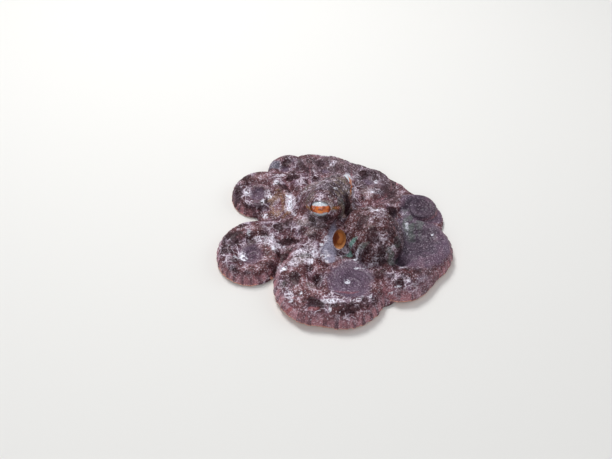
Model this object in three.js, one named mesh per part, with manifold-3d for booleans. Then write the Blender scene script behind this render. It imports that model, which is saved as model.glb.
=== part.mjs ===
// A common octopus at rest on a level floor, life size, its eight arms curled in flat spirals.
// Millimetres and degrees, +Z up, floor at z = 0, origin under the middle of the footprint.
// The head faces azimuth 145, so the animal's left side looks towards -Y and the mantle lies towards +X.
import * as THREE from 'three';
import { mergeVertices } from 'three/addons/utils/BufferGeometryUtils.js';
import Module from 'manifold-3d';

const wasm = await Module();
wasm.setup();

// Driving dimensions. The plan is laid out round the mouth, and its middle becomes the part's origin.
const PLAN_CENTRE = { x: -0.99, y: -1.54 };
const TOUCH_GAP = 0.3;
const WELD = 1e-4;

// The head faces one way and the mantle hangs back at another angle, both as azimuths of their front ends.
const MANTLE = { at: [29, -17, 18], radii: [27, 22, 20], front: 122, tailSwell: 0.08 };
const HEAD = { at: [-10, 18, 15], radii: [22, 22, 17], front: 145 };
const EYE = { radius: 9, aside: 14, back: 9, z: 31.5, gazeSpread: 102, gazeElevation: 34 };
const BROW = { radius: 16, setBack: 9 };
const BODY_MESH = [18, 12];
const EYE_MESH = [14, 8];
const BROW_MESH = [12, 8];

// The funnel is a tube of oval section: its profile gives radii, and heights are measured along its length.
const FUNNEL = { mouth: [2.5, -22, 19.5], azimuth: 264, elevation: 42, length: 17, narrow: 0.66 };
const FUNNEL_SIDES = 18;
const FUNNEL_RADII = { base: 8.5, waist: 8, lip: 9, rim: 8, bore: 6.6, throat: 4 };
const FUNNEL_HEIGHTS = { waist: 9.4, lip: 15.5, bore: 16, throat: 5 };

// Arms: a cross-section is a low dome with a flat sole, and its height follows its width.
const ARM_RING = { x: -8, y: 9, radius: 24, halfWidth: 8.5 };
const ARM_SECTION = [[0.36, 1], [0.8, 0.72], [1, 0.24], [0.74, 0]];
const TIP_SECTION = [[0.55, 1], [1, 0.35], [0.75, 0]];
const CHANNEL_SECTION = [[1, 1], [1, 0]];
const END_CENTRE = 0.5;
const ARM_HEIGHT = { atHalfWidth: 12.5, height: 15.5, power: 0.4 };
const ARM_TIP = 1.1;
const COIL_STEP = 24;
const COIL_FILL = { first: 0.97, lossPerTurn: 0.09 };
const LEG_STEPS = 3;
const MIDDLE_STEPS = 12;
const PLUG_SIDES = 20;
const SOLE_CLEARANCE = 1;

// Each arm leaves the ring at an azimuth, passes its leg points [x, y, half width] and winds into a coil.
// A coil is a spiral whose radius falls by the factor exp(-pitch) in each radian from its start azimuth.
// Its sense is 1 where it winds anticlockwise and -1 where it winds clockwise, seen from above.
const ARMS = {
  arm_left_3: {
    azimuth: 254, leg: [[-25, -36, 14.5], [-32.5, -56, 16.3], [-24, -72, 16]],
    coil: { x: 10, y: -56, radius: 26.5, start: 235, sense: 1, pitch: 0.2 },
  },
  arm_left_2: {
    azimuth: 208, leg: [[-47, -6, 12.5]],
    coil: { x: -66, y: -29, radius: 24.5, start: 98, sense: 1, pitch: 0.158 },
  },
  arm_left_1: {
    azimuth: 165, leg: [[-42, 32, 9.5]],
    coil: { x: -65, y: 37, radius: 21, start: 55, sense: 1, pitch: 0.15 },
  },
  arm_right_1: {
    azimuth: 122, leg: [[-28, 44, 10]],
    coil: { x: -42, y: 67.5, radius: 16, start: 5, sense: 1, pitch: 0.15 },
  },
  arm_right_2: {
    azimuth: 80, leg: [[3, 42, 10]],
    coil: { x: -6, y: 64.5, radius: 16.5, start: 0, sense: 1, pitch: 0.15 },
  },
  arm_right_3: {
    azimuth: 35, leg: [[29, 32, 10]],
    coil: { x: 30, y: 51.5, radius: 15.5, start: -20, sense: 1, pitch: 0.15 },
  },
  arm_right_4: {
    azimuth: 350, leg: [[36, 15, 8.5], [54, 27, 8]],
    coil: { x: 73, y: 20, radius: 12.5, start: 105, sense: -1, pitch: 0.15 },
  },
  arm_left_4: {
    azimuth: 310, leg: [[25, -27, 10], [36, -46, 13.5], [50, -55, 15]],
    coil: { x: 62.5, y: -16, radius: 25.5, start: 288, sense: 1, pitch: 0.165 },
  },
};

// The web between the arms: a cap over the arm ring as [radius, height], and a thin sheet past it as
// [part of the reach, height]. The reach from the ring's centre is given at azimuths round the animal.
const WEB_CAP = [[0, 19], [24, 18.5], [31, 14], [38, 9]];
const WEB_SHEET = [[0.5, 6.8], [1, 3.2]];
const WEB_SEGMENTS = 28;
const WEB_REACH = [
  [-32, 80], [4, 99], [30, 81], [46, 76.5], [68, 76], [84, 80], [100, 83], [140, 68],
  [186, 54], [210, 56], [232, 66], [262, 72], [288, 84], [301, 93], [314, 88], [328, 80], [364, 99],
];

const SKIN_COLOUR = 0x4a3a3c;
const EYE_COLOUR = 0xc06a2c;
const FUNNEL_COLOUR = 0x8a5a38;

const radians = THREE.MathUtils.degToRad;
const ringPoint = (centre, radius, azimuth) =>
  [centre.x + radius * Math.cos(radians(azimuth)), centre.y + radius * Math.sin(radians(azimuth))];

// A closed geometry as a solid that can be cut.
function solid(geometry) {
  geometry.deleteAttribute('normal');
  geometry.deleteAttribute('uv');
  const merged = mergeVertices(geometry, WELD);
  return new wasm.Manifold(new wasm.Mesh({
    numProp: 3,
    vertProperties: new Float32Array(merged.attributes.position.array),
    triVerts: new Uint32Array(merged.index.array),
  }));
}

// A solid as a named mesh with a material of its own. Crumbs that a cut leaves behind are dropped.
function mesh(name, shape, color, roughness) {
  const body = shape.decompose().reduce((a, b) => (a.volume() > b.volume() ? a : b)).getMesh();
  const geometry = new THREE.BufferGeometry();
  geometry.setAttribute('position', new THREE.BufferAttribute(new Float32Array(body.vertProperties), 3));
  geometry.setIndex(new THREE.BufferAttribute(new Uint32Array(body.triVerts), 1));
  geometry.computeVertexNormals();
  const material = new THREE.MeshStandardMaterial({ color, roughness, metalness: 0 });
  const part = new THREE.Mesh(geometry, material);
  part.name = name;
  return part;
}

const cutAll = (shape, cutters) => cutters.reduce((rest, cutter) => rest.subtract(cutter), shape);

// Moves every vertex of a geometry by a rule that changes the vertex it is given.
function reshape(geometry, rule) {
  const position = geometry.attributes.position;
  const vertex = new THREE.Vector3();
  for (let i = 0; i < position.count; i += 1) {
    rule(vertex.fromBufferAttribute(position, i));
    position.setXYZ(i, vertex.x, vertex.y, vertex.z);
  }
  return geometry;
}

// An ellipsoid turned to the body's axis, its long end to the rear, and flat where it meets the floor.
function bodyMass({ at, radii, front, tailSwell = 0 }, grow = 0) {
  const geometry = new THREE.SphereGeometry(1, ...BODY_MESH).rotateX(Math.PI / 2);
  const floor = grow > 0 ? -SOLE_CLEARANCE : 0;
  reshape(geometry, (v) => {
    const swell = 1 - tailSwell * v.x;
    v.set(v.x * (radii[0] + grow), v.y * (radii[1] + grow) * swell, v.z * (radii[2] + grow) * swell);
  });
  geometry.rotateZ(radians(front)).translate(...at);
  return solid(reshape(geometry, (v) => { v.z = Math.max(v.z, floor); }));
}

// Where an eye sits, aside of the head's axis, and the way it looks. The side is 1 for left, -1 for right.
function eyeFrame(side) {
  const axis = new THREE.Vector3(Math.cos(radians(HEAD.front)), Math.sin(radians(HEAD.front)), 0);
  const left = new THREE.Vector3(-axis.y, axis.x, 0).multiplyScalar(side);
  const centre = new THREE.Vector3(HEAD.at[0], HEAD.at[1], EYE.z);
  centre.addScaledVector(axis, -EYE.back).addScaledVector(left, EYE.aside);
  const gaze = axis.multiplyScalar(Math.cos(radians(EYE.gazeSpread)));
  gaze.addScaledVector(left, Math.sin(radians(EYE.gazeSpread)));
  gaze.multiplyScalar(Math.cos(radians(EYE.gazeElevation)));
  gaze.z = Math.sin(radians(EYE.gazeElevation));
  return { centre, gaze };
}

function eyeball(side, grow = 0) {
  const ball = new THREE.SphereGeometry(EYE.radius + grow, ...EYE_MESH);
  return solid(ball.translate(...eyeFrame(side).centre));
}

// The brow and lids: a bulge of the head that holds the eye and leaves its front open.
function brow(side) {
  const { centre, gaze } = eyeFrame(side);
  const middle = centre.addScaledVector(gaze, -BROW.setBack);
  return solid(new THREE.SphereGeometry(BROW.radius, ...BROW_MESH).translate(...middle));
}

// The funnel: a tapered oval tube with an open mouth. As a cutter it is the same tube without its bore.
function funnel(asCutter) {
  const { base, waist, lip, rim, bore, throat } = FUNNEL_RADII;
  const at = FUNNEL_HEIGHTS;
  const { length, narrow } = FUNNEL;
  const grow = asCutter ? TOUCH_GAP : 0;
  const outside = [[0, -grow], [base + grow, -grow], [waist + grow, at.waist], [lip + grow, at.lip]];
  const open = [[rim, length], [bore, at.bore], [throat, at.throat], [0, at.throat]];
  const closed = [[rim + grow, length + grow], [0, length + grow]];
  const profile = outside.concat(asCutter ? closed : open).map(([r, h]) => new THREE.Vector2(r, h));
  const geometry = new THREE.LatheGeometry(profile, FUNNEL_SIDES).scale(narrow, 1, 1);
  const lean = new THREE.Matrix4().makeRotationX(radians(FUNNEL.elevation));
  const turn = new THREE.Matrix4().makeRotationZ(radians(FUNNEL.azimuth - 90));
  geometry.applyMatrix4(turn.multiply(lean)).translate(...funnelRoot());
  return solid(geometry);
}

// The middle of the funnel's hidden end, worked back from its mouth.
function funnelRoot() {
  const flat = Math.cos(radians(FUNNEL.elevation)) * FUNNEL.length;
  const [x, y, z] = FUNNEL.mouth;
  const [dx, dy] = ringPoint({ x: 0, y: 0 }, flat, FUNNEL.azimuth);
  return [x - dx, y - dy, z - Math.sin(radians(FUNNEL.elevation)) * FUNNEL.length];
}

// The middle line of an arm, as a curve of (x, y, half width), and the index where its coil begins.
function armLine({ azimuth, leg, coil }) {
  const root = ringPoint(ARM_RING, ARM_RING.radius, azimuth);
  const points = [[...root, ARM_RING.halfWidth], ...leg].map((p) => new THREE.Vector3(...p));
  const coilStart = points.length;
  const fullWidth = Math.tanh(Math.PI * coil.pitch);
  for (let turned = 0, width = Infinity; width > ARM_TIP; turned += COIL_STEP) {
    const radius = coil.radius * Math.exp(-coil.pitch * radians(turned));
    const place = ringPoint(coil, radius, coil.start + coil.sense * turned);
    const fill = COIL_FILL.first - COIL_FILL.lossPerTurn * (turned / 360);
    width = Math.max(radius * fullWidth * fill, ARM_TIP);
    points.push(new THREE.Vector3(...place, width));
  }
  const curve = new THREE.CatmullRomCurve3(points, false, 'centripetal');
  return { curve, coilStart, last: points.length - 1 };
}

const armHeight = (halfWidth) =>
  ARM_HEIGHT.height * (halfWidth / ARM_HEIGHT.atHalfWidth) ** ARM_HEIGHT.power;

// One length of an arm, from a curve index to another, as a cylinder bent along the line.
// Its ends are set back by half the gap where they meet another length. A cutter is grown and has no gap.
function armLength({ curve, coilStart, last }, from, to, grow = 0, section = ARM_SECTION) {
  const stations = [];
  for (let i = from; i < to; i += 1) {
    const steps = i < coilStart ? LEG_STEPS : 1;
    for (let step = 0; step < steps; step += 1) {
      stations.push(i + step / steps);
    }
  }
  stations.push(to);
  const sides = section.length * 2;
  const start = Math.PI / sides;
  const geometry = new THREE.CylinderGeometry(1, 1, 1, sides, stations.length - 1, false, start);
  const outline = section.concat(section.map(([across, up]) => [-across, up]).reverse());
  const sole = grow > 0 ? SOLE_CLEARANCE : 0;
  return solid(reshape(geometry, (v) => {
    const row = Math.round((0.5 - v.y) * (stations.length - 1));
    const t = stations[row] / last;
    const point = curve.getPoint(t);
    const tangent = curve.getTangent(t).setZ(0).normalize();
    const halfWidth = point.z + grow;
    const height = armHeight(point.z) + grow + sole;
    const column = Math.round((Math.atan2(v.x, v.z) - start) / (2 * start) + sides) % sides;
    const onRim = Math.hypot(v.x, v.z) > END_CENTRE;
    const [across, up] = onRim ? outline[column] : [0, END_CENTRE];
    const inset = (row === 0 && from > 0 ? 1 : 0) - (row === stations.length - 1 && to < last ? 1 : 0);
    const along = inset * (TOUCH_GAP / 2 - grow / 2);
    v.set(
      point.x - tangent.y * across * halfWidth + tangent.x * along,
      point.y + tangent.x * across * halfWidth + tangent.y * along,
      up * height - sole,
    );
  }));
}

// A plug that fills an arm's coil from the start of its tip inwards, used only to cut what lies beside it.
function coilPlug({ coil }, { curve, last }, tipStart) {
  const { x, y, z } = curve.getPoint(tipStart / last);
  const radius = Math.hypot(x - coil.x, y - coil.y) + z + TOUCH_GAP;
  const height = armHeight(z) + TOUCH_GAP + SOLE_CLEARANCE;
  const plug = new THREE.CylinderGeometry(radius, radius, height, PLUG_SIDES).rotateX(Math.PI / 2);
  return solid(plug.translate(coil.x, coil.y, height / 2 - SOLE_CLEARANCE));
}

// The web's reach from the centre of the arm ring at an azimuth from -180 to 180, eased from gap to gap.
function webReach(azimuth) {
  const around = azimuth < 0 ? azimuth + 360 : azimuth;
  const next = WEB_REACH.findIndex(([angle]) => angle > around);
  const [a0, r0] = WEB_REACH[next - 1];
  const [a1, r1] = WEB_REACH[next];
  const part = (around - a0) / (a1 - a0);
  return r0 + (r1 - r0) * (0.5 - 0.5 * Math.cos(Math.PI * part));
}

// The web, turned on a lathe with a unit-wide sheet, which is then stretched to its reach.
function web() {
  const [inner] = WEB_CAP[WEB_CAP.length - 1];
  const sheet = WEB_SHEET.map(([part, height]) => [inner + part, height]);
  const profile = [...WEB_CAP, ...sheet, [inner + 1, 0], [0, 0]].map(([r, h]) => new THREE.Vector2(r, h));
  const geometry = new THREE.LatheGeometry(profile.reverse(), WEB_SEGMENTS).rotateX(Math.PI / 2);
  return solid(reshape(geometry, (v) => {
    const radius = Math.hypot(v.x, v.y);
    const azimuth = THREE.MathUtils.radToDeg(Math.atan2(v.y, v.x));
    const reach = radius > inner ? inner + (radius - inner) * (webReach(azimuth) - inner) : radius;
    const scale = radius > 0 ? reach / radius : 0;
    v.set(ARM_RING.x + v.x * scale, ARM_RING.y + v.y * scale, v.z);
  }));
}

const octopus = new THREE.Group();
const skinMesh = (name, shape) => octopus.add(mesh(name, shape, SKIN_COLOUR, 0.6));

const SIDES = { left: 1, right: -1 };
const brows = Object.values(SIDES).map(brow);
const eyeCutters = Object.values(SIDES).map((side) => eyeball(side, TOUCH_GAP));
const funnelCutter = funnel(true);
const headMass = brows.reduce((head, part) => head.add(part), bodyMass(HEAD));
const headCutter = brows.reduce((head, part) => head.add(part), bodyMass(HEAD, TOUCH_GAP));

for (const [name, side] of Object.entries(SIDES)) {
  octopus.add(mesh(`eye_${name}`, eyeball(side), EYE_COLOUR, 0.15));
}
skinMesh('head', cutAll(headMass, [...eyeCutters, funnelCutter]));

// Arms make way for the head and for the arms before them, and the web and mantle for the arms.
const armCutters = [];
const channelCutters = [];
for (const [name, arm] of Object.entries(ARMS)) {
  const line = armLine(arm);
  const tipStart = Math.min(line.coilStart + MIDDLE_STEPS, line.last - 2);
  const lengths = {
    base: [0, line.coilStart],
    middle: [line.coilStart, tipStart],
    tip: [tipStart, line.last],
  };
  for (const [length, [from, to]] of Object.entries(lengths)) {
    const cutters = length === 'base' ? [headCutter, ...armCutters] : armCutters;
    const section = length === 'tip' ? TIP_SECTION : ARM_SECTION;
    skinMesh(`${name}_${length}`, cutAll(armLength(line, from, to, 0, section), cutters));
    if (length !== 'tip') {
      armCutters.push(armLength(line, from, to, TOUCH_GAP));
      channelCutters.push(armLength(line, from, to, TOUCH_GAP, CHANNEL_SECTION));
    }
  }
  armCutters.push(coilPlug(arm, line, tipStart));
  channelCutters.push(coilPlug(arm, line, tipStart));
}

octopus.add(mesh('funnel', cutAll(funnel(false), armCutters), FUNNEL_COLOUR, 0.5));
skinMesh('mantle', cutAll(bodyMass(MANTLE), [headCutter, ...armCutters, funnelCutter]));
const bodyCutters = [headCutter, bodyMass(MANTLE, TOUCH_GAP), funnelCutter];

// The roots of the right arms meet, so that the web behind them is a part of its own.
const webParts = cutAll(web(), [...channelCutters, ...bodyCutters]).decompose();
webParts.sort((a, b) => b.volume() - a.volume());
skinMesh('arm_web', webParts[0]);
skinMesh('arm_web_back', webParts[1]);

octopus.position.set(-PLAN_CENTRE.x, -PLAN_CENTRE.y, 0);

export default octopus;
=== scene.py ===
"""A common octopus at rest on a level floor, its eight arms curled in flat spirals.

The skin is one mesh. It is grown from a field of distances round the head, mantle, funnel, web and arms,
then raised into papillae, folds and ribs, and painted by masks that ride on its vertices. The eyes, the
funnel's lining and the suckers are pieces of their own. Sizes are in millimetres and degrees, in a plan
whose origin lies PLAN_SHIFT from the frame's, and every mesh is turned into metres in the frame when it is
made. Sizes in the finishes and in Studio are in metres.
"""

import logging
import math
from dataclasses import dataclass, field
from enum import Enum
from typing import Sequence

import bpy
import numpy as np
import openvdb
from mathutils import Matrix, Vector


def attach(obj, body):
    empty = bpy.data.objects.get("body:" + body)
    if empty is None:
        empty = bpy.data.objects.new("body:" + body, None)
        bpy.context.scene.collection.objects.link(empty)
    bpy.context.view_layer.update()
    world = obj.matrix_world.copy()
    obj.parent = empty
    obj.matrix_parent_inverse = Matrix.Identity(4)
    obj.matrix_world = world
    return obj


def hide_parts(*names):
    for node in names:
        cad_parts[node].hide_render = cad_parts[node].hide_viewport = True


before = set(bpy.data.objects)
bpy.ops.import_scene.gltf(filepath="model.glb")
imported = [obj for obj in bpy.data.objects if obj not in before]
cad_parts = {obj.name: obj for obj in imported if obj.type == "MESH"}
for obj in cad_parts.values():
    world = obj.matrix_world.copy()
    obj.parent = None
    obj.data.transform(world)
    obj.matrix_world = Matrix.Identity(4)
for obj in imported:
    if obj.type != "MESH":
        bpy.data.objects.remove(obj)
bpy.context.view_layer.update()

log = logging.getLogger("octopus")

MM = 0.001
PLAN_SHIFT = np.array([0.99, 1.54, 0.0])
BODY = "root"
TINY = 1e-6
# how much of a distance a difference in height counts for, above a sloping top
STEEPNESS = 0.9

Array = np.ndarray
Pair = tuple[float, float]
Triple = tuple[float, float, float]
Colour = tuple[float, float, float]


# ---------------------------------------------------------------- sums on arrays


def ease(low: float, high: float, value: Array) -> Array:
    """A smooth step.

    Args:
        low: the value where the step is 0. It may be above high, for a step that falls.
        high: the value where the step is 1.
        value: what is stepped.

    Returns:
        Shares from 0 to 1.
    """
    part = np.clip((value - low) / (high - low), 0.0, 1.0)
    return part * part * (3.0 - 2.0 * part)


def meld(first: Array, second: Array, width: float | Array) -> Array:
    """The union of two distance fields, with a fillet between them.

    Args:
        first: one field.
        second: the other field.
        width: how wide the fillet is, in millimetres.

    Returns:
        The joined field.
    """
    share = np.maximum(width - np.abs(first - second), 0.0) / width
    return np.minimum(first, second) - share * share * width * 0.25


def carve(body: Array, cutter: Array, width: float) -> Array:
    """A distance field with another cut out of it, its edge rounded by width."""
    return -meld(-body, cutter, width)


def oval_distance(offsets: Sequence[Array], radii: Sequence[float | Array]) -> Array:
    """Nearly the distance to an ellipse or ellipsoid.

    Args:
        offsets: how far each point lies from the middle along each axis.
        radii: the radius along each axis.

    Returns:
        Distances, negative inside.
    """
    near = np.sqrt(sum((p / r) ** 2 for p, r in zip(offsets, radii)) + TINY)
    slope = np.sqrt(sum((p / (r * r)) ** 2 for p, r in zip(offsets, radii)) + TINY / (radii[0] * radii[0]))
    return near * (near - 1.0) / slope


def compass(azimuth: float) -> Array:
    """The level unit vector at an azimuth."""
    return np.array([math.cos(math.radians(azimuth)), math.sin(math.radians(azimuth)), 0.0])


def beside(x: Array, y: Array, start: Sequence, end: Sequence) -> tuple[Array, Array]:
    """Where points seen from above lie beside a segment.

    Args:
        x: the points' x.
        y: their y.
        start: x and y of the segment's start, or of one start for each point.
        end: its end, in the same way.

    Returns:
        How far along it the nearest place is, from 0 to 1, and how far off that place is.
    """
    ax, ay = start
    dx, dy = end[0] - ax, end[1] - ay
    part = np.clip(((x - ax) * dx + (y - ay) * dy) / (dx * dx + dy * dy), 0.0, 1.0)
    return part, np.hypot(x - ax - part * dx, y - ay - part * dy)


class Noise:
    """Seeded noise in space, for shapes and for the edges of marks."""

    SIZE = 4096
    PRIMES = (73856093, 19349663, 83492791)

    def __init__(self, seed: int) -> None:
        """Draws the table of random numbers."""
        self.table = np.random.default_rng(seed).random((self.SIZE, 3)).astype(np.float32)

    def _draw(self, cell: Array) -> Array:
        """The three random numbers of each cell."""
        x, y, z = (cell[..., i].astype(np.int64) * self.PRIMES[i] for i in range(3))
        return self.table[(x ^ y ^ z) & (self.SIZE - 1)]

    def swell(self, points: Array, size: float) -> Array:
        """Smooth noise.

        Args:
            points: places, one to a row.
            size: the width of a cell in millimetres.

        Returns:
            Values from -1 to 1.
        """
        cell = np.floor(points / size)
        part = points / size - cell
        part = part * part * (3.0 - 2.0 * part)
        total = np.zeros(len(points), np.float32)
        for corner in np.ndindex(2, 2, 2):
            weight = np.prod(np.where(np.array(corner) == 1, part, 1.0 - part), axis=1)
            total += weight * self._draw(cell + corner)[:, 0]
        return total * 2.0 - 1.0

    def grains(self, points: Array, size: float) -> tuple[Array, Array]:
        """How far each point is from the nearest of many scattered grains.

        Args:
            points: places, one to a row.
            size: the width of a cell, which holds one grain, in millimetres.

        Returns:
            The distance as a share of the cell's width, and the grain's own random number.
        """
        cell = np.floor(points / size)
        best = np.full(len(points), np.inf, np.float32)
        chance = np.zeros(len(points), np.float32)
        for step in np.ndindex(3, 3, 3):
            there = cell + (np.array(step) - 1)
            drawn = self._draw(there)
            gap = np.linalg.norm(points / size - there - drawn, axis=1)
            closer = gap < best
            best[closer] = gap[closer]
            chance[closer] = drawn[closer, 0]
        return best, chance


# ---------------------------------------------------------------- the animal's plan


@dataclass(frozen=True)
class Coil:
    """A spiral seen from above, whose radius falls by exp(-pitch) in each radian.

    start is the azimuth where it begins and sense is 1 where it turns left. calm is how far out the smooth
    skin in its middle reaches, as a share of its radius.
    """

    x: float
    y: float
    radius: float
    start: float
    pitch: float = 0.15
    sense: int = 1
    calm: float = 0.7


@dataclass(frozen=True)
class Arm:
    """One arm: the azimuth of its root, its leg as (x, y, half width) and its coil."""

    name: str
    azimuth: float
    leg: tuple[Triple, ...]
    coil: Coil


ARMS = (
    Arm(
        "arm_left_3", 254, ((-25, -36, 14.5), (-32.5, -56, 16.3), (-24, -72, 16)),
        Coil(10, -56, 26.5, 235, 0.2, calm=0.74),
    ),
    Arm("arm_left_2", 208, ((-47, -6, 12.5),), Coil(-66, -29, 24.5, 98, 0.158, calm=0.46)),
    Arm("arm_left_1", 165, ((-42, 32, 9.5),), Coil(-65, 37, 21, 55, calm=0.4)),
    Arm("arm_right_1", 122, ((-28, 44, 10),), Coil(-42, 67.5, 16, 5, calm=0.3)),
    Arm("arm_right_2", 80, ((3, 42, 10),), Coil(-6, 64.5, 16.5, 0, calm=0.3)),
    Arm("arm_right_3", 35, ((29, 32, 10),), Coil(30, 51.5, 15.5, -20, calm=0.3)),
    Arm("arm_right_4", 350, ((36, 15, 8.5), (54, 27, 8)), Coil(73, 20, 12.5, 105, sense=-1, calm=1.6)),
    Arm(
        "arm_left_4", 310, ((25, -27, 10), (36, -46, 13.5), (50, -55, 15)),
        Coil(62.5, -16, 25.5, 288, 0.165, calm=1.3),
    ),
)


@dataclass
class ArmLine:
    """An arm's middle line, sampled, with its widths, heights and lengths along it."""

    arm: Arm
    ring_centre: Pair = (-8.0, 9.0)
    ring_radius: float = 24.0
    ring_half_width: float = 8.5
    tip_half_width: float = 1.1
    coil_step: float = 24.0
    first_fill: float = 0.97
    fill_lost_per_turn: float = 0.09
    height_at: float = 12.5
    height: float = 15.5
    height_power: float = 0.4
    dish_share: float = 0.89
    dish_reach: Pair = (0.72, 1.05)
    samples: int = 6
    points: Array = field(init=False)
    run: Array = field(init=False)
    heights: Array = field(init=False)
    coil_from: int = field(init=False)

    def __post_init__(self) -> None:
        """Samples the line."""
        root = np.array([*self.ring_centre, 0.0]) + compass(self.arm.azimuth) * self.ring_radius
        knots = [(root[0], root[1], self.ring_half_width), *self.arm.leg]
        self.coil_from = len(knots) * self.samples
        knots += self._coil_knots()
        self.points = self._curve(np.array(knots, float))
        steps = np.linalg.norm(np.diff(self.points[:, :2], axis=0), axis=1)
        self.run = np.concatenate([[0.0], np.cumsum(steps)])
        self.heights = self.height_for(self.points[:, 2])

    def height_for(self, half: Array | float) -> Array | float:
        """How high the arm stands where it has this half width."""
        return self.height * (half / self.height_at) ** self.height_power

    def _coil_knots(self) -> list[Triple]:
        """The coil's knots as (x, y, half width), inwards to its tip."""
        coil = self.arm.coil
        knots: list[Triple] = []
        turned = 0.0
        half = math.inf
        while half > self.tip_half_width:
            radius = coil.radius * math.exp(-coil.pitch * math.radians(turned))
            place = compass(coil.start + coil.sense * turned) * radius
            fill = self.first_fill - self.fill_lost_per_turn * turned / 360.0
            half = max(radius * math.tanh(math.pi * coil.pitch) * fill, self.tip_half_width)
            knots.append((coil.x + place[0], coil.y + place[1], half))
            turned += self.coil_step
        return knots

    def dish(self, x: Array, y: Array, z: Array) -> Array:
        """Distances from the skin that fills the grooves between the coil's turns."""
        coil = self.arm.coil
        out = np.hypot(x - coil.x, y - coil.y)
        half = np.maximum(out * math.tanh(math.pi * coil.pitch), self.tip_half_width)
        inner, outer = self.dish_reach
        top = self.height_for(half) * self.dish_share * ease(outer, inner, out / coil.radius)
        return np.maximum(z - top, out - coil.radius * outer) * STEEPNESS

    def _curve(self, knots: Array) -> Array:
        """A centripetal Catmull-Rom curve through the knots.

        Args:
            knots: the points that it passes through, one to a row.

        Returns:
            The curve's points, samples to each knot.
        """
        ends = np.vstack([2 * knots[0] - knots[1], knots, 2 * knots[-1] - knots[-2]])
        pieces = []
        for p0, p1, p2, p3 in zip(ends, ends[1:], ends[2:], ends[3:]):
            d0, d1, d2 = (math.sqrt(np.linalg.norm(b - a)) for a, b in ((p0, p1), (p1, p2), (p2, p3)))
            m1 = ((p1 - p0) / d0 - (p2 - p0) / (d0 + d1) + (p2 - p1) / d1) * d1
            m2 = ((p2 - p1) / d1 - (p3 - p1) / (d1 + d2) + (p3 - p2) / d2) * d1
            t = (np.arange(self.samples) / self.samples)[:, None]
            cubic = (2 * p1 - 2 * p2 + m1 + m2) * t**3 + (3 * p2 - 3 * p1 - 2 * m1 - m2) * t**2
            pieces.append(cubic + m1 * t + p1)
        return np.vstack([*pieces, knots[-1:]])


@dataclass(frozen=True)
class Mass:
    """An ellipsoid of the body, turned so that its first radius lies along its front's azimuth."""

    at: Triple
    radii: Triple
    front: float
    tail_swell: float = 0.0

    def distance(self, x: Array, y: Array, z: Array) -> Array:
        """Distances from the mass at places given by coordinates, in millimetres."""
        ahead = compass(self.front)
        dx, dy = x - self.at[0], y - self.at[1]
        along = dx * ahead[0] + dy * ahead[1]
        aside = dy * ahead[0] - dx * ahead[1]
        swell = 1.0 - self.tail_swell * np.clip(along / self.radii[0], -1.0, 1.0)
        return oval_distance((along, aside / swell, (z - self.at[2]) / swell), self.radii)


MANTLE = Mass((29, -17, 18), (27, 22, 20), 122, 0.08)
HEAD = Mass((-10, 18, 15), (22, 22, 17), 145)
# flesh in the hollow between the leg of arm_left_3 and its coil
HOLLOW_FILL = Mass((-15, -46, 4), (8, 9, 9.5), 90)


class Side(Enum):
    """The animal's left and right, as the sign of the way aside from its head's axis."""

    LEFT = 1
    RIGHT = -1


@dataclass(frozen=True)
class EyePlace:
    """Where an eye sits in its brow, how it looks out, and its lids, whose opening has the slit's radii."""

    side: Side
    radius: float = 9.0
    aside: float = 14.0
    back: float = 9.0
    height: float = 31.5
    gaze_spread: float = 102.0
    gaze_elevation: float = 34.0
    roll: float = 15.0
    brow_radius: float = 15.6
    brow_back: float = 9.0
    lid: float = 1.15
    lid_fillet: float = 2.4
    lid_edge: float = 1.1
    slit: Pair = (8.2, 5.7)
    clearance: float = 0.05
    socket_edge: float = 0.1

    @property
    def centre(self) -> Array:
        """The middle of the eyeball."""
        axis = compass(HEAD.front)
        left = compass(HEAD.front + 90.0) * self.side.value
        return np.array([HEAD.at[0], HEAD.at[1], self.height]) - axis * self.back + left * self.aside

    @property
    def axes(self) -> tuple[Array, Array, Array]:
        """The gaze, the way along the lids and the way across them, as unit vectors."""
        spread, lift = math.radians(self.gaze_spread), math.radians(self.gaze_elevation)
        aside = compass(HEAD.front + 90.0) * self.side.value
        level = compass(HEAD.front) * math.cos(spread) + aside * math.sin(spread)
        gaze = level * math.cos(lift) + np.array([0.0, 0.0, math.sin(lift)])
        flat = np.cross(gaze, (0.0, 0.0, 1.0))
        flat /= np.linalg.norm(flat)
        roll = math.radians(self.roll) * self.side.value
        along = flat * math.cos(roll) + np.cross(gaze, flat) * math.sin(roll)
        return gaze, along, np.cross(along, gaze)

    def parts(self, x: Array, y: Array, z: Array) -> tuple[Array, Array, Array]:
        """Places as distances from the eye's middle along the gaze, along the lids and across them."""
        cx, cy, cz = self.centre
        return tuple((x - cx) * a[0] + (y - cy) * a[1] + (z - cz) * a[2] for a in self.axes)

    def brow(self, x: Array, y: Array, z: Array) -> Array:
        """Distances from the brow's bulge."""
        ahead, along, across = self.parts(x, y, z)
        return np.sqrt((ahead + self.brow_back) ** 2 + along**2 + across**2) - self.brow_radius

    def open_lids(self, body: Array, x: Array, y: Array, z: Array) -> Array:
        """A body's field with lids grown over the eye and the eye's place cut out of them."""
        ahead, along, across = self.parts(x, y, z)
        from_eye = np.sqrt(ahead**2 + along**2 + across**2)
        lids = meld(body, from_eye - self.radius - self.lid, self.lid_fillet)
        opening = np.maximum(oval_distance((along, across), self.slit), -ahead)
        opened = carve(lids, opening, self.lid_edge)
        return carve(opened, from_eye - self.radius + self.clearance, self.socket_edge)


EYES = (EyePlace(Side.LEFT), EyePlace(Side.RIGHT))


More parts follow.
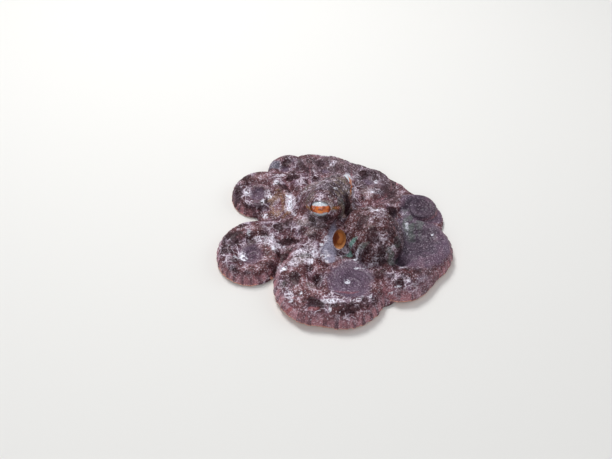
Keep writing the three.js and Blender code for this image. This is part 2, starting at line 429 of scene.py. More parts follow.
@dataclass(frozen=True)
class Funnel:
    """The funnel: a tapered tube of oval section, with radii at heights along it."""

    mouth: Triple = (2.5, -22, 19.5)
    azimuth: float = 264.0
    elevation: float = 42.0
    length: float = 17.0
    narrow: float = 0.66
    oval_slope: float = 0.78
    outside: tuple[Pair, ...] = ((-4, 9.2), (4, 8.2), (9.4, 7.7), (15.5, 8.7), (17, 8.9))
    inside: tuple[Pair, ...] = ((5, 3.6), (9, 4.6), (13, 5.8), (16, 7.4), (17, 8.2))

    @property
    def axes(self) -> tuple[Array, Array, Array]:
        """The way out along the tube, and the narrow and the wide way across it."""
        level, lift = compass(self.azimuth), math.radians(self.elevation)
        out = level * math.cos(lift) + np.array([0.0, 0.0, math.sin(lift)])
        narrow = compass(self.azimuth - 90.0)
        return out, narrow, np.cross(narrow, out)

    @property
    def root(self) -> Array:
        """The middle of the hidden end."""
        return np.array(self.mouth) - self.axes[0] * self.length

    def parts(self, x: Array, y: Array, z: Array) -> tuple[Array, Array]:
        """Places as heights along the tube and distances from its axis, the oval made round."""
        rx, ry, rz = self.root
        up, near, far = ((x - rx) * a[0] + (y - ry) * a[1] + (z - rz) * a[2] for a in self.axes)
        return up, np.hypot(near / self.narrow, far)

    def distance(self, x: Array, y: Array, z: Array) -> Array:
        """Distances from the tube, with its bore left solid."""
        up, out = self.parts(x, y, z)
        wall = (out - np.interp(up, *zip(*self.outside))) * self.oval_slope
        return np.maximum(wall, up - self.length)

    def bore(self, x: Array, y: Array, z: Array) -> Array:
        """Distances from the bore."""
        up, out = self.parts(x, y, z)
        wall = (out - np.interp(up, *zip(*self.inside))) * self.oval_slope
        return np.maximum(wall, self.inside[0][0] - up)


FUNNEL = Funnel()


@dataclass(frozen=True)
class Web:
    """The web between the arms: a cap over the arm ring, and a thin sheet out to its reach.

    The cap has heights at radii, the sheet has heights at shares of the way from the cap to the reach, and
    the reach has radii at azimuths.
    """

    centre: Pair = (-8.0, 9.0)
    cap: tuple[Pair, ...] = ((0, 18.6), (22, 18.2), (27, 16.6), (33, 12.5), (38, 9.0))
    sheet: tuple[Pair, ...] = ((0, 9.0), (0.4, 7.2), (0.85, 5.0), (1, 3.2))
    reach: tuple[Pair, ...] = (
        (-32, 80), (4, 99), (30, 81), (46, 76.5), (68, 76), (84, 80), (100, 83), (140, 68), (186, 54),
        (210, 56), (232, 66), (262, 72), (288, 84), (301, 93), (314, 88), (328, 80), (364, 99),
    )

    def distance(self, x: Array, y: Array, z: Array) -> Array:
        """Distances from the web, taken from its height at each place."""
        dx, dy = x - self.centre[0], y - self.centre[1]
        radius = np.hypot(dx, dy)
        azimuth = np.degrees(np.arctan2(dy, dx)) % 360.0
        angles, reaches = (np.array(row, float) for row in zip(*self.reach))
        step = np.clip(np.searchsorted(angles, azimuth, side="right"), 1, len(angles) - 1)
        part = (azimuth - angles[step - 1]) / (angles[step] - angles[step - 1])
        reach = reaches[step - 1] + (reaches[step] - reaches[step - 1]) * (0.5 - 0.5 * np.cos(np.pi * part))
        inner = self.cap[-1][0]
        out = np.maximum(radius - inner, 0.0) / (reach - inner)
        on_cap, on_sheet = np.interp(radius, *zip(*self.cap)), np.interp(out, *zip(*self.sheet))
        above = z - np.where(radius < inner, on_cap, on_sheet)
        past = radius - reach
        gap = np.where(past > 0.0, np.hypot(past, np.maximum(above, 0.0)), np.maximum(above, past))
        return gap * STEEPNESS


WEB = Web()


# ---------------------------------------------------------------- the skin's marks


class Tone(Enum):
    """The kinds of mark on the skin, some of them painted light. Each is a mask on its vertices, of this
    name.
    """

    DARK = "dark"
    PALE = "pale"
    TEAL = "teal"
    AMBER = "amber"
    OLIVE = "olive"
    SLATE = "slate"
    QUIET = "quiet"
    GLINT = "glint"
    SAGE = "sage"
    FAWN = "fawn"
    BLUSH = "blush"
    MIST = "mist"
    PAINTED_SHADE = "painted_shade"


@dataclass(frozen=True)
class Blot:
    """An oval mark seen from above: its middle, radii, turn and strength, and how much of it is hollow."""

    x: float
    y: float
    long: float
    short: float
    turn: float = 0.0
    strength: float = 1.0
    hollow: float = 0.0
    outline: Pair = (1.25, 0.65)
    hollow_edge: float = 0.2

    def cover(self, points: Array, edge: Array) -> Array:
        """How strongly the mark covers each point.

        Args:
            points: places, one to a row.
            edge: noise that makes the outline ragged.

        Returns:
            Shares from 0 to 1.
        """
        way = compass(self.turn)
        dx, dy = points[:, 0] - self.x, points[:, 1] - self.y
        along, aside = dx * way[0] + dy * way[1], dy * way[0] - dx * way[1]
        far = np.hypot(along / self.long, aside / self.short) + edge
        cover = ease(*self.outline, far)
        if self.hollow:
            cover = cover - ease(self.hollow + self.hollow_edge, self.hollow - self.hollow_edge, far)
        return self.strength * cover


# The marks of each tone, as rows of a Blot's numbers. All of GLINT, TEAL, SAGE and BLUSH and most of DARK
# and FAWN were picked, and another program worked out their places and radii in millimetres.
MARKS = {
    Tone.DARK: (
        (-34, -59, 7.4, 5.2), (-17, -79, 6.9, 4.7), (7, -82, 7.5, 4.6), (21, -78, 3.5, 4.9),
        (-41, -29, 4.7, 4.9), (-8, -36, 2.8, 5.5), (0, -55, 1.7, 5.6, 0, 0.8), (-36, -17, 8.4, 2.7),
        (-25, -77, 4.2, 2, 0, 0.8), (-82, -15, 7.4, 8.2), (-68, -12, 6.4, 2.8, 20, 0.8),
        (-58, -11, 4.2, 3.1, 0, 0.8), (-86, -28, 5.2, 2.6, 0, 0.7), (-68, -48, 2.7, 1.5, 0, 0.8),
        (-51, -40, 4.2, 2.9, 0, 0.8), (-81, 34, 3.7, 8.6), (-64, 43, 4.7, 1.8), (-57, 26, 1.9, 2.8),
        (-70, 21, 5.2, 3.3, 0, 0.6), (-77, 52, 5.2, 4.7, 0, 0.8), (-42, 73, 3.7, 4), (-35, 54, 5.2, 3.3),
        (-43, 40, 4.2, 4.7), (-38, -1, 3.7, 5.6), (-27, 66, 6.4, 5.5), (-11, 72, 5.2, 3.3),
        (5, 67, 5.2, 4.2, 0, 0.8), (26, 61, 5.2, 5.6, 0, 0.8), (-13, 54, 7.4, 2.3, 0, 0.7),
        (-4, 12, 8.4, 2.8, 0, 0.6), (10, 6, 4.7, 4.5), (-28, -11, 4.2, 2.7, 0, 0.8),
        (-18, -16, 5.2, 3.1, 0, 0.8), (-10, -8, 6.4, 2.2, 0, 0.6), (20, -18, 5.2, 6.4, 0, 0.9),
        (27, -31, 4.2, 6.9, 0, 0.9), (48, 13, 4.2, 11.3), (41, -26, 4.2, 6.5, 0, 0.9),
        (22, -38, 5.2, 3.1, 0, 0.8), (33, -40, 5.2, 4.6, 0, 0.9), (48, -35, 3.2, 4.2),
        (50, 36, 5.2, 7.4, 0, 0.9), (44, 40, 5.2, 3.7, 0, 0.8), (47, -60, 4.7, 2.8),
        (62, -51, 3.7, 2.6, 0, 0.8), (42, -55, 3.2, 2.2, 0, 0.7), (71, -45, 4.2, 2.2, 0, 0.7),
        (66, 28, 5.2, 1.5), (73, 20, 4.2, 2.8), (66, -14, 4.7, 1.5, 0, 0.8), (66, -26, 2.2, 6.5, 0, 0.8),
        (56, -12, 2.7, 4.4, 0, 0.6), (-63, 23, 5.1, 3.2), (-84, 36, 6.4, 3.8, 95, 0.8), (-46, -6, 5.1, 3.8),
        (30, -52, 6.4, 3.8, 0, 0.8),
    ),
    Tone.PALE: (
        (-36.5, 20, 5, 9, 5), (-46, 56, 6, 2.5, 25), (-73, 38, 4, 4, 0, 0.8), (-57, 36, 3, 5, 0, 0.8),
        (-29, -30, 7, 4, 0, 0.8), (-16, -31, 6, 4), (-22, -41, 5, 3, 20, 0.8), (-33, -42, 5, 4, 0, 0.8),
        (-10, -27, 4, 3), (-6, -20, 5, 4, 20), (-5, -77, 10, 2.5, 5), (-36, -71, 5, 3, -40),
        (-43, -44, 3, 8), (15, -75, 5, 2, 30), (-73, -29, 3.4, 3), (-51, -18, 8, 5, -30),
        (-60, -15, 5, 2.5), (59, 17, 4, 4), (57, -6, 3, 6), (50, -60, 4, 2, 20, 0.8),
        (51, -44, 4, 2, 0, 0.8), (16, 57, 7, 3, 0, 0.5), (35, 36, 6, 4, 0, 0.4), (28, -5, 3, 3, 0, 0.7),
        (17.5, -36.5, 2.8, 2.2), (-10, -33.5, 3.4, 2.4), (40, 12, 7, 4, -30, 0.8), (0, 72, 4, 2.5),
    ),
    # painted highlights: small bright white-cyan spots where light catches the wet skin
    Tone.GLINT: (
        (-11, -23, 1.8, 1.5), (-10, -31, 2.7, 1.6), (-18, -30, 1.2, 3), (-19, -40, 1.3, 2.8),
        (-40, -47, 2.7, 2.3), (-33, -76, 3.8, 0.7), (-27, -72, 1.2, 2.5), (-6, -77, 3, 1.8, 0, 0.9),
        (-6, -83, 1.1, 2.1, 0, 0.7), (8, -54, 2.4, 1.6), (15, -36, 1.9, 1.3), (-49, -24, 1.8, 1.9),
        (-41, -22, 1.7, 1.8, 0, 0.8), (16, -45, 2.5, 0.8, 0, 0.7), (21, -45, 1.7, 0.5, 0, 0.7),
        (-72, -32, 2.8, 3), (-74, 36, 1.7, 2.5), (-60, 27, 1.3, 4.4, 0, 0.8), (-54, 31, 1.7, 2.3, 0, 0.8),
        (-58, 14, 2.8, 2.9, 0, 0.7), (-38, 30, 2.5, 2.3), (-37, 19, 2, 7.5), (-50, 46, 2.5, 2.3, 0, 0.7),
        (-41, -48, 1.2, 1.1), (14, 56, 3.3, 1.9, 0, 0.9), (37, 51, 1.7, 2.4, 0, 0.8),
        (32, 34, 1.7, 1.2, 0, 0.9), (32, -3, 2.5, 2.5, 0, 0.9), (58, -3, 1.3, 8, 0, 0.5),
        (77, -12, 1.2, 0.9, 0, 0.8), (45, -63, 2.5, 0.6, 0, 0.7), (40, -66, 3.3, 0.6, 0, 0.7),
        (24, -72, 1.2, 1.7, 0, 0.8), (-69, -10, 1.7, 2.4, 0, 0.6), (-77, -33, 3.3, 1.3, 0, 0.6),
        (-41, -22, 1.2, 2.7, 0, 0.6), (-24, 25, 1.2, 2.9, 0, 0.7), (0, 12, 1.7, 1.1, 0, 0.8),
    ),
    Tone.TEAL: ((11, -29, 4.1, 1.8), (6, -31, 1.7, 1.2), (11, -30, 2, 1.1, 0, 0.8)),
    Tone.SAGE: (
        (60, 1, 4.6, 16.9, 0, 0.9), (68, 1, 3.3, 9.3, 0, 0.7), (42, -41, 3.3, 2.7),
        (39, -39, 2.5, 1.8, 0, 0.6), (46, -32, 2.5, 3.6, 0, 0.5), (19, -35, 4.1, 1.6, 0, 0.7),
        (-24, -35, 5, 3, 0, 0.4), (-41, -62, 2.5, 4.1, 0, 0.4), (4, 2, 3.3, 4.8, 0, 0.6),
    ),
    Tone.FAWN: (
        (-25, -3, 7, 4, 0, 0.6), (-14, -8, 7, 4, 0, 0.6), (-20, -14, 5, 3, 0, 0.5),
        (-28, -38, 5.4, 6.3, 0, 0.8), (-20, -63, 4.1, 4.6, 0, 0.5), (28, 36, 6.6, 7.3, 0, 0.6),
        (-4, 28, 5.8, 3.7, 0, 0.5), (-4, 3, 4.1, 1.7, 0, 0.7), (-20, -26, 4.1, 3.1, 0, 0.5),
    ),
    Tone.BLUSH: (
        (-37, -81, 4.1, 1.9), (-33, -74, 1.7, 0.7, 0, 0.7), (-18, -83, 5, 1.4, 0, 0.6),
        (6, -66, 8.3, 1.3, 0, 0.5),
    ),
    Tone.AMBER: ((-47.5, 24, 7, 12, 0, 0.9, 0.55), (-40, 9, 5, 3, 30, 0.7), (6, 1, 3, 2, 0, 0.7)),
    Tone.OLIVE: (
        (2, 14, 10, 12), (-12, -3, 12, 3, 0, 0.8), (-20, 8, 4, 6, 0, 0.6), (-16, 26, 12, 9, 0, 0.5),
    ),
    Tone.SLATE: ((-52, 70, 7, 4.5, 10),),
    # painted highlight: a pale bluish sheen round the funnel's mouth
    Tone.MIST: ((-7, -27, 6, 6), (-5, -33, 5, 4)),
    Tone.QUIET: (
        (4, 70, 46, 14, -8), (40, 46, 28, 16, -40), (-62, 40, 14, 14, 0, 0.4), (70, -55, 14, 12, 0, 0.6),
    ),
    # painted shade: dims the coils of arm_left_4 and arm_right_4, the gap between them and the mantle, and
    # a little of the head
    Tone.PAINTED_SHADE: ((-10, 24, 16, 14, 0, 0.35), (64, -16, 19, 21), (72, 21, 14, 13), (52, -2, 8, 18, 0, 0.8)),
}
BLOTS = {tone: tuple(Blot(*row) for row in rows) for tone, rows in MARKS.items()}


@dataclass(frozen=True)
class Fold:
    """A raised pale fold of skin that follows points seen from above."""

    points: tuple[Pair, ...]
    half_width: float
    rise: float

    def nearness(self, points: Array) -> Array:
        """How near each point is to the fold's middle, from 0 to 1."""
        legs = zip(self.points, self.points[1:])
        gaps = [beside(points[:, 0], points[:, 1], start, end)[1] for start, end in legs]
        return ease(self.half_width, 0.0, np.min(gaps, axis=0))


FOLDS = (
    Fold(((9, 34), (13, 20), (20, 7), (32, -5)), 2.2, 1.0),
    Fold(((-36, 33), (-38.5, 24), (-37, 14), (-33, 6)), 2.8, 1.3),
    Fold(((12, -35), (22, -44), (36, -42), (47, -32)), 1.8, 0.7),
)


# ---------------------------------------------------------------- the field and its mesh


# where the two views that a mesh is baked in lie on its picture: the size and corner of each
BAKE_VIEWS = ((0.68, 0.005), (0.3, 0.695))


class Field:
    """Distances to the body in millimetres on a regular grid, and the arm segment nearest to each cell."""

    # the distance in an empty grid, and the largest that the surface is made from
    FAR = 12.0
    BAND = 3.0

    def __init__(self, low: Triple, high: Triple, voxel: float) -> None:
        """Makes an empty grid.

        Args:
            low: the lowest corner.
            high: the highest corner.
            voxel: the width of a cell.
        """
        self.low = np.array(low, float)
        self.voxel = voxel
        shape = tuple(int(n) for n in np.ceil((np.array(high) - self.low) / voxel) + 1)
        self.value = np.full(shape, self.FAR, np.float32)
        self.owner = np.full(shape, -1, np.int32)

    def window(self, low: Sequence[float], high: Sequence[float]) -> tuple[tuple[slice, ...], list[Array]]:
        """Part of the grid.

        Args:
            low: its lowest corner.
            high: its highest corner.

        Returns:
            The slices that cut it out, and its x, y and z as arrays that broadcast.
        """
        first, last = ((np.array(corner) - self.low) / self.voxel for corner in (low, high))
        first = np.clip(np.floor(first), 0, self.value.shape).astype(int)
        last = np.clip(np.ceil(last) + 1, 0, self.value.shape).astype(int)
        places = []
        for i in range(3):
            line = (self.low[i] + np.arange(first[i], last[i]) * self.voxel).astype(np.float32)
            places.append(line.reshape([-1 if j == i else 1 for j in range(3)]))
        return tuple(slice(a, b) for a, b in zip(first, last)), places

    def everywhere(self) -> list[Array]:
        """The whole grid's x, y and z as arrays that broadcast."""
        return self.window(self.low, self.low + np.array(self.value.shape) * self.voxel)[1]

    def surface(self) -> tuple[Array, Array]:
        """The zero surface as points in millimetres and quads that face out."""
        grid = openvdb.FloatGrid(self.BAND)
        grid.copyFromArray(np.clip(self.value, -self.BAND, self.BAND))
        points, quads = grid.convertToQuads(0.0)
        return points.astype(np.float64) * self.voxel + self.low, quads[:, ::-1]

    def owners(self, points: Array) -> Array:
        """The arm segment nearest to each point, or -1."""
        cell = np.rint((points - self.low) / self.voxel).astype(int)
        cell = np.clip(cell, 0, np.array(self.value.shape) - 1)
        return self.owner[cell[:, 0], cell[:, 1], cell[:, 2]]


@dataclass
class ArmSpot:
    """Where points lie on the arms: across from -1 to 1 at the outer edge, up from 0 to 1 at the top.

    held is the distance from the arm's own section, and coil_radius and calm are those of its coil.
    """

    across: Array
    up: Array
    run: Array
    from_coil: Array
    coil_radius: Array
    calm: Array
    half: Array
    held: Array


@dataclass
class ArmBundle:
    """All arms as one set of segments."""

    lines: tuple[ArmLine, ...]
    shoulder: float = 0.25
    tuck: float = 1.7
    margin: float = 3.0
    root_margin: float = 8.0
    bottom: float = -1.5
    sole: float = 1.0
    dish_top: float = 22.0
    groove_fillet: float = 4.0

    def __post_init__(self) -> None:
        """Joins the arms' segments into rows: each end's x, y, half width, height and run, and the coil."""
        rows = []
        for line in self.lines:
            coil = line.arm.coil
            ends = np.column_stack([line.points, line.heights, line.run])
            for j, (start, end) in enumerate(zip(ends, ends[1:])):
                coiled = j >= line.coil_from
                rows.append((*start, *end, coil.x, coil.y, coil.radius, coil.sense, coil.calm, coiled))
            log.info("%s: %.0f mm long", line.arm.name, line.run[-1])
        self.rows = np.array(rows, float)

    def section(self, off: Array, z: Array, half: Array, height: Array) -> Array:
        """Distances from an arm's rounded section, widest at its shoulder and tucked in at the sole."""
        shoulder = self.shoulder * height
        above = z > shoulder
        reach = np.where(above, height - shoulder, shoulder * self.tuck)
        return oval_distance((off, z - shoulder), (half, reach))

    def grow(self, grid: Field) -> None:
        """Adds every arm to a grid."""
        for index, row in enumerate(self.rows):
            ax, ay, aw, ah, _, bx, by, bw, bh, *_, coiled = row
            margin = self.margin if coiled else self.root_margin
            reach = max(aw, bw) + margin
            low = (min(ax, bx) - reach, min(ay, by) - reach, self.bottom)
            high = (max(ax, bx) + reach, max(ay, by) + reach, max(ah, bh) + margin)
            cut, (x, y, z) = grid.window(low, high)
            part, off = beside(x, y, (ax, ay), (bx, by))
            gap = self.section(off, z, aw + part * (bw - aw), ah + part * (bh - ah)).astype(np.float32)
            closer = gap < grid.value[cut]
            grid.value[cut][closer] = gap[closer]
            grid.owner[cut][closer] = index
        for line in self.lines:
            coil = line.arm.coil
            reach = coil.radius + self.margin
            low = (coil.x - reach, coil.y - reach, self.bottom)
            high = (coil.x + reach, coil.y + reach, self.dish_top)
            cut, (x, y, z) = grid.window(low, high)
            grid.value[cut] = meld(grid.value[cut], line.dish(x, y, z), self.groove_fillet)
        z = grid.everywhere()[2]
        np.maximum(grid.value, self.sole - z, out=grid.value)

    def locate(self, points: Array, owners: Array) -> ArmSpot:
        """Where points lie on the arm segments that own them.

        Args:
            points: places, one to a row.
            owners: the row of each point's segment, or -1.

        Returns:
            Their places on the arms.
        """
        rows = self.rows[np.maximum(owners, 0)].T
        ax, ay, aw, ah, run_a, bx, by, bw, bh, run_b, coil_x, coil_y, coil_radius, sense, calm, _ = rows
        x, y, z = points.T
        dx, dy = bx - ax, by - ay
        part, _ = beside(x, y, (ax, ay), (bx, by))
        half, height = aw + part * (bw - aw), ah + part * (bh - ah)
        left = (dx * (y - ay) - dy * (x - ax)) / np.hypot(dx, dy)
        return ArmSpot(
            across=-sense * left / half,
            up=z / height,
            run=run_a + part * (run_b - run_a),
            from_coil=np.hypot(x - coil_x, y - coil_y),
            coil_radius=coil_radius,
            calm=calm,
            half=half,
            held=np.where(owners >= 0, self.section(np.abs(left), z, half, height), Field.FAR),
        )


def set_places(mesh: bpy.types.Mesh, points: Array) -> None:
    """Puts a mesh's vertices at places in the plan."""
    mesh.vertices.foreach_set("co", ((points + PLAN_SHIFT) * MM).astype(np.float32).ravel())


def make_mesh(name: str, points: Array, faces: Array) -> bpy.types.Object:
    """A smooth-shaded mesh object in the frame, in metres.

    Args:
        name: the piece's name.
        points: places in the plan, in millimetres, one to a row.
        faces: quads or triangles, as rows of point numbers.

    Returns:
        The new object.
    """
    mesh = bpy.data.meshes.new(name)
    sides = faces.shape[1]
    mesh.vertices.add(len(points))
    set_places(mesh, points)
    mesh.loops.add(faces.size)
    mesh.loops.foreach_set("vertex_index", faces.astype(np.int32).ravel())
    mesh.polygons.add(len(faces))
    mesh.polygons.foreach_set("loop_start", np.arange(0, faces.size, sides, dtype=np.int32))
    mesh.polygons.foreach_set("use_smooth", np.ones(len(faces), bool))
    mesh.update(calc_edges=True)
    mesh.validate()
    piece = bpy.data.objects.new(name, mesh)
    bpy.context.scene.collection.objects.link(piece)
    return piece


def normals_of(piece: bpy.types.Object) -> Array:
    """A mesh's vertex normals, one to a row."""
    normals = np.zeros(len(piece.data.vertices) * 3, np.float32)
    piece.data.vertex_normals.foreach_get("vector", normals)
    return normals.reshape(-1, 3).astype(np.float64)


def store(piece: bpy.types.Object, name: str, values: Array) -> None:
    """Puts one number on each vertex of a mesh."""
    layer = piece.data.attributes.new(name, "FLOAT", "POINT")
    layer.data.foreach_set("value", values.astype(np.float32))


def lay_out_bake(piece: bpy.types.Object, points: Array, faces: Array) -> None:
    """Lays a mesh out for baking: what faces up in one plan view, and what faces down in a smaller one.

    Args:
        piece: the mesh.
        points: its places in millimetres.
        faces: its faces, as rows of point numbers.
    """
    first, second, third = (points[faces[:, i]] for i in range(3))
    upward = np.cross(second - first, third - first)[:, 2] > 0
    low = points.min(0)
    width = (points.max(0) - low)[:2].max()
    corners = (points[faces][:, :, :2] - low[:2]) / width
    (up_size, up_at), (down_size, down_at) = BAKE_VIEWS
    uv = np.where(upward[:, None, None], corners * up_size + up_at, corners * down_size + down_at)
    layer = piece.data.uv_layers.new(name="OFBake")
    layer.data.foreach_set("uv", uv.astype(np.float32).ravel())


def dress(piece: bpy.types.Object, points: Array, faces: Array, material: bpy.types.Material) -> None:
    """Lays a piece out for baking, gives it its material and reports it.

    Args:
        piece: the mesh.
        points: its places in millimetres.
        faces: its faces, as rows of point numbers.
        material: its finish.
    """
    lay_out_bake(piece, points, faces)
    piece.data.materials.append(material)
    log.info("%s: %d faces", piece.name, len(faces))


def ring(sides: int) -> Array:
    """The angles of a ring's points, in radians."""
    return np.arange(sides) * math.tau / sides


def ring_faces(rings: int, sides: int) -> Array:
    """The quads between rings of points that follow one another.

    Args:
        rings: how many rings there are.
        sides: how many points a ring has.

    Returns:
        The quads: along the first ring, then back along the second.
    """
    here = np.arange(sides)
    there = (here + 1) % sides
    quad = np.column_stack([here, there, there + sides, here + sides])
    return np.vstack([quad + row * sides for row in range(rings - 1)])



# ---------------------------------------------------------------- materials


class Sock:
    """A node's output that takes part in sums."""

    def __init__(self, nodes: "Nodes", output: bpy.types.NodeSocket) -> None:
        """Wraps an output of a node."""
        self.nodes = nodes
        self.output = output

    def _sum(self, operation: str, *values: "Sock | float") -> "Sock":
        """A Math node on values, in their order."""
        return self.nodes.add("ShaderNodeMath", {"operation": operation}, dict(enumerate(values)))

    def __add__(self, other: "Sock | float") -> "Sock":
        """self + other."""
        return self._sum("ADD", self, other)

    __radd__ = __add__

    def __sub__(self, other: "Sock | float") -> "Sock":
        """self - other."""
        return self._sum("SUBTRACT", self, other)

    def __rsub__(self, other: "Sock | float") -> "Sock":
        """other - self."""
        return self._sum("SUBTRACT", other, self)

    def __mul__(self, other: "Sock | float") -> "Sock":
        """self * other."""
        return self._sum("MULTIPLY", self, other)

    __rmul__ = __mul__

    def __abs__(self) -> "Sock":
        """The value without its sign."""
        return self._sum("ABSOLUTE", self)

    def __or__(self, other: "Sock | float") -> "Sock":
        """The greater of the two, as a union of masks."""
        return self._sum("MAXIMUM", self, other)

    __ror__ = __or__

    def step(self, low: float, high: float) -> "Sock":
        """A smooth step from 0 at low to 1 at high, which may be below low."""
        inputs = {"Value": self, "From Min": low, "From Max": high}
        return self.nodes.add("ShaderNodeMapRange", {"interpolation_type": "SMOOTHSTEP"}, inputs)


class Nodes:
    """The node tree of one material."""

    def __init__(self, name: str) -> None:
        """Starts an empty material."""
        self.material = bpy.data.materials.new(name)
        self.material.use_nodes = True
        self.tree = self.material.node_tree
        self.tree.nodes.clear()

    def add(
        self, kind: str, settings: dict | None = None, inputs: dict | None = None, output: int | str = 0
    ) -> Sock:
        """Adds a node.

        Args:
            kind: its type.
            settings: its properties, which are set first.
            inputs: values or Socks by socket name or number.
            output: the output that is returned.

        Returns:
            The output.
        """
        node = self.tree.nodes.new(kind)
        for name, value in (settings or {}).items():
            setattr(node, name, value)
        for key, value in (inputs or {}).items():
            if isinstance(value, Sock):
                self.tree.links.new(value.output, node.inputs[key])
            else:
                node.inputs[key].default_value = value
        return Sock(self, node.outputs[output])

    def mask(self, name: str) -> Sock:
        """A number that rides on the vertices."""
        return self.add("ShaderNodeAttribute", {"attribute_name": name}, output="Fac")

    def place(self) -> Sock:
        """The place on the object, in metres."""
        return self.add("ShaderNodeTexCoord", output="Object")

    def vector(self, operation: str, inputs: dict) -> Sock:
        """A Vector Math node."""
        return self.add("ShaderNodeVectorMath", {"operation": operation}, inputs)

    def shift(self, place: Sock, amount: Sock, by: float) -> Sock:
        """A place moved by a colour's noise, by metres."""
        centred = self.vector("SUBTRACT", {0: amount, 1: (0.5, 0.5, 0.5)})
        return self.vector("ADD", {0: place, 1: self.vector("SCALE", {0: centred, "Scale": by})})

    def noise(self, place: Sock, size: float, detail: float = 2.0, output: str = "Fac") -> Sock:
        """Noise whose cells are size metres wide."""
        inputs = {"Vector": place, "Scale": 1.0 / size, "Detail": detail}
        return self.add("ShaderNodeTexNoise", None, inputs, output)

    def cells(self, place: Sock, size: float, feature: str = "F1", output: str = "Distance") -> Sock:
        """Cells of size metres: the distance to their grains or edges, or each cell's own colour."""
        inputs = {"Vector": place, "Scale": 1.0 / size}
        return self.add("ShaderNodeTexVoronoi", {"feature": feature}, inputs, output)

    def blend(
        self, share: Sock | float, under: Sock | Colour, over: Sock | Colour, mode: str = "MIX"
    ) -> Sock:
        """Two colours mixed.

        Args:
            share: how much of the second shows.
            under: the first colour.
            over: the second colour.
            mode: the way that they mix.

        Returns:
            The colour.
        """
        first, second = (c if isinstance(c, Sock) else (*c, 1.0) for c in (under, over))
        settings = {"data_type": "RGBA", "blend_type": mode, "clamp_factor": True}
        return self.add("ShaderNodeMix", settings, {0: share, 6: first, 7: second}, 2)

    def finish(self, inputs: dict) -> bpy.types.Material:
        """Ends the tree in a Principled shader with these inputs, and returns the material."""
        shader = self.add("ShaderNodeBsdfPrincipled", None, inputs)
        end = self.tree.nodes.new("ShaderNodeOutputMaterial")
        self.tree.links.new(shader.output, end.inputs["Surface"])
        return self.material


